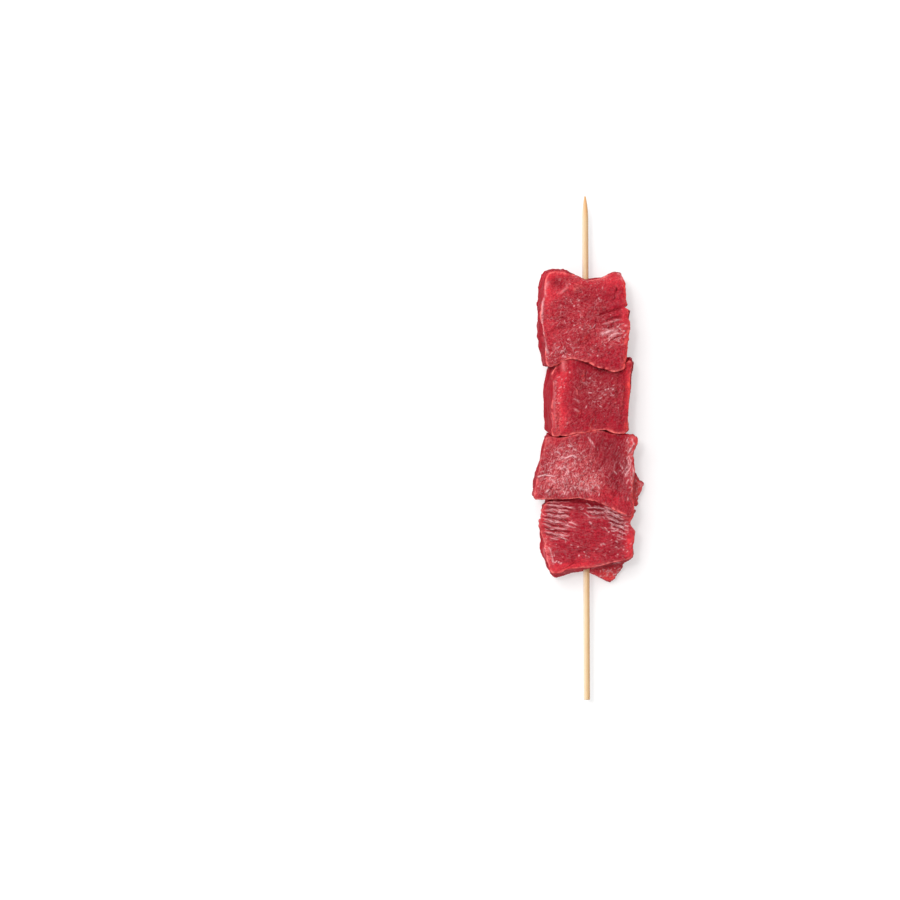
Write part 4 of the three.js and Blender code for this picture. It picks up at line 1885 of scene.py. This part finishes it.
def beef_cubes() -> list[BeefCube]:
    """Describes the four cubes, from the point of the stick down.

    Returns:
        The cubes.
    """
    first = BeefCube(
        node="beef_1", seed=11, grain=22.0, cut=Cut.ACROSS,
        finish=BeefFinish(grain=22.0, strands=0.12, cells=0.08, hairs=0.05, wetness=0.25, relief=0.8),
        brims=(0.0, 1.0), neighbours_at=(0.0, 1.0),
        dents=patches(
            (-11.0, 66.0, 2.6, 2.0, 2.2, 30.0), (-8.6, 62.4, 3.0, 1.2, -0.8, 40.0),
            (5.0, 66.5, 3.5, 2.0, 0.5),
        ),
        grooves=creases(
            (((-15.9, 58.5), (-16.4, 63.0), (-14.2, 67.2)), 0.8, -0.35, 0.3, 0.3),
            (
                ((-16.6, 62.0), (-17.4, 56.0), (-17.5, 48.5), (-16.2, 40.5), (-14.8, 36.0)),
                0.5, -0.2, 0.1, 0.5,
            ),
            (((-12.6, 60.6), (-9.4, 61.6), (-7.6, 63.6), (-8.0, 66.4)), 0.7, -0.5, 0.3, 0.2),
            (((4.4, 44.6), (8.5, 45.9), (13.4, 46.4)), 0.8, -0.35, 0.3, 0.5),
            (((3.2, 51.6), (8.2, 53.6), (14.8, 55.4)), 0.4, 0.5),
            (((6.0, 49.4), (10.0, 51.2), (15.2, 52.4)), 0.4, 0.5),
            (((8.0, 41.0), (11.5, 43.4), (15.0, 44.6)), 0.35, 0.45),
            (((7.4, 42.6), (10.6, 44.8), (14.8, 46.0)), 0.3, -0.25, 0.3, 0.8),
            (((5.8, 43.6), (7.4, 45.4), (9.4, 46.2)), 0.3, -0.2, 0.3, 0.7),
            (((1.0, 46.6), (2.8, 47.8), (4.2, 49.6)), 0.3, -0.2, 0.3, 0.5),
            (((5.5, 48.4), (9.5, 49.6), (14.5, 51.2)), 0.4, -0.3, 0.3, 0.4),
            (((7.0, 47.2), (11.0, 48.3), (15.0, 49.0)), 0.35, 0.35),
            (((11.2, 69.4), (13.6, 68.6), (14.8, 65.0)), 0.6, -0.3, 0.3, 0.3),
        ),
        sinews=strewn(
            (10.5, 44.5, 5.0, 4.0, 24, 2.6, 28.0, 18.0, 21), (-3.0, 60.0, 8.0, 6.0, 9, 1.2, 30.0, 40.0, 22),
            (-12.0, 37.5, 6.0, 3.0, 14, 1.8, 75.0, 15.0, 23),
            (-1.0, 50.0, 14.0, 14.0, 8, 0.5, 30.0, 60.0, 24),
        ),
        haze=patches(
            (10.0, 44.0, 5.0, 4.0, 0.25, 25.0), (-5.0, 50.0, 15.0, 15.0, 0.14), (3.0, 66.8, 9.0, 1.4, 0.25),
            (-10.5, 69.8, 4.0, 1.0, 0.3), (-8.0, 37.0, 8.0, 3.0, 0.15),
        ),
        dark_meat_and_shade=patches((3.0, 53.0, 10.0, 9.0, 0.2), (-10.4, 66.4, 3.4, 2.6, 0.6, 20.0)),
        flush=patches(
            (-11.5, 69.0, 6.0, 1.8, 1.0, 5.0), (-15.6, 63.0, 2.2, 5.0, 0.9),
            (-9.5, 61.6, 6.0, 1.8, 0.7, 30.0), (11.0, 66.4, 5.0, 3.5, 0.9), (0.0, 65.0, 7.0, 2.5, 0.5),
            (-15.0, 50.0, 2.5, 14.0, 0.5), (15.4, 50.0, 2.0, 16.0, 0.8),
        ),
        glint_flecks=(
            (-4.8, 56.1), (-2.9, 58.3), (-4.8, 48.5), (-1.7, 46.9), (-2.6, 47.6), (-7.2, 42.9), (4.4, 36.4),
            (14.8, 46.1), (15.3, 48.2),
        ),
        gloss=patches((11.0, 45.0, 5.0, 4.0, 0.5, 20.0), (-8.0, 63.0, 5.0, 3.0, 0.3)),
        nudges=(Nudge((17.6, 55.6), (1.8, 0.55), (-2.0, 0.0)),),
    )
    second = BeefCube(
        node="beef_2", seed=12, grain=38.0, cut=Cut.ACROSS,
        finish=BeefFinish(grain=38.0, strands=0.12, cells=0.1, hairs=0.06, wetness=0.25, relief=0.9),
        brims=(0.0, 0.7),
        dents=patches(
            (7.2, 31.6, 3.0, 1.2, 1.3), (4.0, 33.4, 8.0, 1.3, 1.7, -14.0), (6.8, 19.6, 0.45, 0.35, 0.5),
        ),
        grooves=creases(
            (((-9.3, 36.2), (-9.2, 33.0), (-8.6, 29.2)), 1.3, -0.8, 0.3, 0.15),
            (((-11.4, 35.0), (-11.0, 31.5), (-10.2, 28.5)), 0.6, 0.5),
            (((-12.4, 28.0), (-12.8, 18.0), (-12.5, 8.0)), 0.5, -0.2, 0.1, 0.15),
            (((15.3, 32.0), (15.3, 24.0), (15.0, 14.0)), 0.7, 0.35),
            (((-2.6, 26.4), (-0.6, 25.6), (0.8, 24.2)), 0.35, -0.15, 0.3, 0.4),
            (((-5.6, 19.6), (-3.8, 19.0), (-2.4, 17.8)), 0.35, -0.15, 0.3, 0.4),
            (((-5.4, 15.6), (-3.8, 15.0), (-2.6, 13.6)), 0.35, -0.15, 0.3, 0.4),
        ),
        sinews=strewn(
            (6.0, 22.0, 9.0, 7.0, 14, 1.4, 25.0, 35.0, 31), (-10.5, 24.0, 1.6, 7.0, 30, 0.5, 60.0, 50.0, 32),
            (-1.0, 21.0, 14.0, 11.0, 8, 0.5, 30.0, 60.0, 33),
        ),
        haze=patches(
            (4.0, 22.0, 9.0, 7.0, 0.12), (-8.6, 32.5, 0.8, 2.6, 0.4), (-11.4, 17.0, 1.4, 11.0, 0.35),
            (-9.5, 10.5, 3.0, 2.2, 0.2),
        ),
        dark_meat_and_shade=patches((3.0, 24.0, 11.0, 10.0, 0.85), (5.0, 32.0, 8.0, 2.0, 0.6, -14.0)),
        flush=patches(
            (-9.0, 30.0, 3.2, 6.0, 1.0), (-10.5, 11.0, 3.5, 5.0, 1.0), (-10.6, 20.0, 2.4, 8.0, 0.8),
            (16.4, 24.0, 2.0, 12.0, 0.9), (8.5, 31.6, 2.5, 1.2, 0.5),
        ),
        glint_flecks=((10.4, 23.1), (7.5, 23.0), (8.6, 23.3), (11.4, 18.0), (1.4, 27.6), (-6.6, 29.9)),
        gloss=patches((6.0, 23.0, 7.0, 4.0, 0.4)),
    )
    third = BeefCube(
        node="beef_3", seed=13, grain=66.0, cut=Cut.ALONG,
        finish=BeefFinish(grain=66.0, strands=0.24, cells=0.1, wetness=0.8, relief=1.0), brightness=0.7,
        dents=patches((9.0, 6.0, 9.0, 1.3, 1.4, -8.0), (1.3, -12.3, 0.6, 0.5, 0.5)),
        grooves=creases(
            (((18.9, -9.6), (19.0, -13.0), (18.9, -16.5), (18.5, -21.5)), 0.6, 1.8, 0.15),
            (((-16.1, -18.2), (-14.3, -16.4), (-12.8, -14.0)), 0.3, 0.5),
            (((-20.4, -11.8), (-18.6, -10.9), (-16.4, -10.6), (-12.2, -11.2)), 0.28, -0.3, 0.2, 1.0),
            (((-11.9, -4.8), (-7.0, -3.3), (-5.1, -3.0), (-3.3, -4.5)), 0.28, -0.3, 0.2, 1.0),
            (((0.1, 4.7), (1.0, 3.5), (2.2, 2.2), (3.1, 0.7)), 0.26, -0.2, 0.3, 0.7),
            (((-5.7, -0.1), (-3.9, -1.1)), 0.3, -0.25, 0.3, 0.9),
            (((-8.8, -1.3), (-6.7, -1.0)), 0.3, -0.2, 0.3, 0.7),
            (((-10.9, -8.5), (-8.8, -7.5), (-7.6, -8.2), (-7.0, -10.3)), 0.28, -0.25, 0.2, 1.0),
            (((-14.6, -12.0), (-13.1, -13.0), (-12.2, -13.7)), 0.3, -0.3, 0.2, 1.0),
            (((-16.4, -17.3), (-14.9, -16.4)), 0.35, -0.3, 0.2, 1.0),
            (((17.5, 4.4), (18.7, 1.6), (17.2, -1.1), (16.0, -2.7)), 0.3, -0.4, 0.2, 0.9),
            (((19.3, 2.4), (18.4, 0.4), (16.6, -2.4)), 0.35, 0.4, 0.2),
            (((16.0, -3.0), (17.5, -5.4), (17.2, -7.8), (15.6, -10.3), (14.4, -12.1)), 0.3, -0.3, 0.2, 0.6),
            (((18.2, -6.6), (18.4, -10.9), (18.1, -15.5), (17.0, -17.9)), 0.3, -0.4, 0.2, 0.6),
        ),
        sinews=strewn(
            (-9.0, -6.0, 9.0, 8.0, 110, 1.3, 25.0, 50.0, 41),
            (-12.0, -8.0, 8.0, 9.0, 90, 0.7, 60.0, 60.0, 47),
            (20.8, -14.5, 1.6, 5.0, 46, 1.0, 60.0, 60.0, 46),
            (-7.0, -17.0, 9.0, 2.2, 60, 1.2, 78.0, 20.0, 42),
            (1.0, -14.5, 4.0, 3.0, 22, 1.8, -70.0, 35.0, 44),
            (16.0, -8.0, 2.6, 10.0, 40, 2.2, 80.0, 22.0, 43),
            (-8.0, -12.0, 7.0, 5.0, 22, 0.6, 20.0, 60.0, 45),
        ),
        haze=patches(
            (1.4, -13.4, 4.2, 3.0, 0.4), (-1.0, -13.0, 9.0, 6.0, 0.25), (-9.0, -8.5, 8.0, 6.0, 0.26),
            (-8.0, -1.0, 9.0, 5.0, 0.2), (-15.0, -15.0, 6.0, 4.0, 0.3), (16.8, -2.0, 1.8, 8.0, 0.25),
            (21.0, -15.0, 2.2, 6.0, 0.4), (1.0, -4.4, 2.6, 1.8, 0.35, 30.0),
        ),
        gloss=patches(
            (-8.0, -9.0, 8.0, 6.0, 1.0), (-8.0, -16.5, 10.0, 3.0, 0.8), (2.0, -13.0, 6.0, 5.0, 0.6),
            (16.5, -4.0, 3.0, 10.0, 0.8), (20.8, -14.0, 2.0, 5.0, 0.8),
        ),
        dark_meat_and_shade=patches((9.5, -1.0, 8.0, 7.0, 0.95), (11.0, -12.0, 5.0, 7.0, 0.6)),
        flush=patches(
            (-14.0, 3.5, 4.0, 2.5, 0.5), (10.0, -19.5, 7.0, 3.0, 0.5, -25.0), (18.6, -2.0, 1.4, 6.0, 0.7),
            (19.0, 3.0, 1.6, 2.0, 0.8), (20.8, -13.5, 2.6, 5.0, 0.9), (20.6, -19.5, 2.6, 4.0, 1.0, -20.0),
            (-20.0, -16.0, 1.5, 4.0, 0.4),
        ),
        glint_flecks=(
            (2.6, -9.1), (-8.3, -10.0), (-7.6, -10.3), (-8.0, -9.6), (-13.4, -12.6), (-15.2, -16.5),
            (17.2, -0.4), (17.0, -0.9), (-11.6, -12.4), (-14.9, -17.6), (-10.4, -7.9), (21.2, -12.6),
            (21.8, -15.4), (20.6, -18.2),
        ),
        torn=patches((20.8, -16.0, 2.6, 7.5, 1.3), (18.0, -1.0, 2.2, 5.0, 0.5)),
        nudges=(
            Nudge((22.0, -14.5), (3.0, 3.2), (0.9, 0.0)), Nudge((21.8, -20.0), (2.2, 2.4), (-1.2, 0.2)),
            Nudge((-22.0, -5.5), (3.0, 5.0), (1.1, 0.0)),
        ),
    )
    fourth = BeefCube(
        node="beef_4", seed=14, grain=-12.0, cut=Cut.ALONG,
        finish=BeefFinish(grain=-12.0, strands=0.14, cells=0.08, wetness=0.6, relief=0.9), brims=(0.8, 0.8),
        brightness=0.7, neighbours_at=(1.0, 0.0),
        dents=patches((15.4, -24.9, 0.8, 0.7, 2.2)),
        grooves=upper_folds() + creases(
            (((-16.0, -20.1), (-5.0, -20.6), (0.0, -21.2), (4.0, -22.3), (7.6, -23.2)), 0.8, 1.1, 0.1),
            (((7.2, -22.4), (11.0, -24.0), (14.6, -25.3)), 0.35, 0.9, 0.15),
            (((1.7, -47.9), (5.7, -46.7), (9.1, -46.0), (15.2, -44.8)), 0.55, -0.4, 0.1, 0.7),
            (((-9.9, -49.5), (-5.6, -49.1), (-1.3, -48.5)), 0.45, -0.25, 0.2, 0.6),
            (((-15.7, -38.1), (-14.1, -41.2), (-13.5, -44.2), (-13.4, -46.7)), 0.35, -0.3, 0.15, 0.5),
            (((-17.4, -38.4), (-16.7, -42.7), (-15.5, -46.3)), 0.4, -0.3, 0.2, 0.6),
            (((-0.7, -28.0), (1.7, -27.4), (5.1, -27.4), (6.6, -27.7)), 0.5, -0.25, 0.3, 0.25),
            (((0.4, -29.3), (1.4, -30.2), (1.3, -31.4)), 0.3, 0.3, 0.2),
            (((0.8, -28.9), (1.9, -30.2)), 0.3, -0.2, 0.2, 0.7),
        ),
        sinews=strewn(
            (13.0, -32.5, 4.0, 4.5, 26, 1.6, -28.0, 24.0, 51),
            (-13.5, -27.0, 5.5, 7.5, 64, 3.4, -8.0, 9.0, 52),
            (6.0, -24.8, 8.0, 2.4, 50, 2.6, -14.0, 10.0, 57),
            (11.0, -29.0, 5.5, 4.5, 50, 2.4, -27.0, 12.0, 58),
            (2.0, -38.0, 12.0, 7.0, 16, 1.2, 20.0, 50.0, 53),
            (12.5, -39.5, 4.0, 3.0, 14, 0.9, 40.0, 50.0, 55), (9.0, -50.0, 5.0, 2.0, 34, 1.6, 20.0, 30.0, 56),
            (-12.0, -42.5, 3.0, 5.0, 16, 0.6, 20.0, 60.0, 54),
        ),
        dark_meat_and_shade=patches((2.5, -23.0, 7.0, 2.5, 1.0, -5.0), (11.0, -27.0, 5.0, 3.0, 0.7, -28.0)),
        flush=patches(
            (-17.0, -27.0, 1.6, 7.0, 0.9), (-15.8, -42.0, 2.2, 7.0, 0.9), (-11.0, -48.0, 5.0, 2.2, 0.9, 6.0),
            (-3.0, -46.4, 8.0, 2.2, 0.9, 8.0), (16.8, -38.0, 2.2, 6.5, 0.9),
            (9.0, -51.0, 7.0, 3.5, 1.0, 15.0), (-3.0, -50.5, 12.0, 1.6, 0.8, 6.0),
            (1.0, -38.0, 12.0, 8.0, 0.15),
        ),
        glint_flecks=(
            (-11.2, -45.0), (-10.3, -45.5), (-3.2, -42.5), (12.1, -42.1), (-3.6, -39.0), (8.6, -33.2),
            (14.4, -40.2),
        ),
        gloss=patches(
            (-12.0, -27.0, 6.0, 8.0, 0.8), (4.0, -24.5, 5.0, 2.0, 0.8), (9.0, -50.5, 6.0, 2.5, 0.7),
            (13.0, -30.0, 5.0, 7.0, 1.0, -25.0), (-14.0, -43.0, 2.0, 6.0, 0.8), (12.0, -39.0, 4.0, 4.0, 0.6),
        ),
        nudges=(
            Nudge((9.2, -53.0), (1.8, 1.8), (0.0, -0.6)), Nudge((4.0, -53.0), (2.0, 2.0), (0.0, 0.8)),
            Nudge((13.4, -51.6), (1.8, 1.8), (-0.7, 0.4)), Nudge((-12.6, -51.6), (1.5, 1.5), (0.2, -0.6)),
        ),
        haze=patches(
            (-12.0, -24.0, 4.5, 3.5, 0.14), (-12.0, -30.0, 4.5, 3.0, 0.12), (-16.2, -41.0, 1.5, 5.5, 0.5),
            (9.0, -50.5, 5.0, 2.0, 0.2), (-11.0, -34.3, 3.0, 1.3, 0.3, -15.0),
            (12.0, -26.6, 5.0, 2.5, 0.15, -28.0),
        ),
        torn=patches((17.6, -38.0, 2.0, 5.0, 0.5), (9.5, -51.0, 5.5, 2.5, 0.9)),
        evened=patches(
            (-14.0, -27.0, 9.0, 10.0, 1.6), (0.0, -23.0, 10.0, 4.5, 1.6), (13.0, -29.0, 7.0, 8.0, 1.6),
        ),
    )
    return [first, second, third, fourth]


def main() -> None:
    """Builds the stick, the cubes and the studio, and reports each piece."""
    logging.basicConfig(level=logging.INFO, format="%(name)s: %(message)s")
    effects = Effects()
    stick = BambooStick(finish=BambooFinish())
    stick.build()
    stick.dress(effects)
    for cube in beef_cubes():
        cube.build()
        cube.dress(effects)
    Studio().build()


if __name__ == "__main__":
    main()
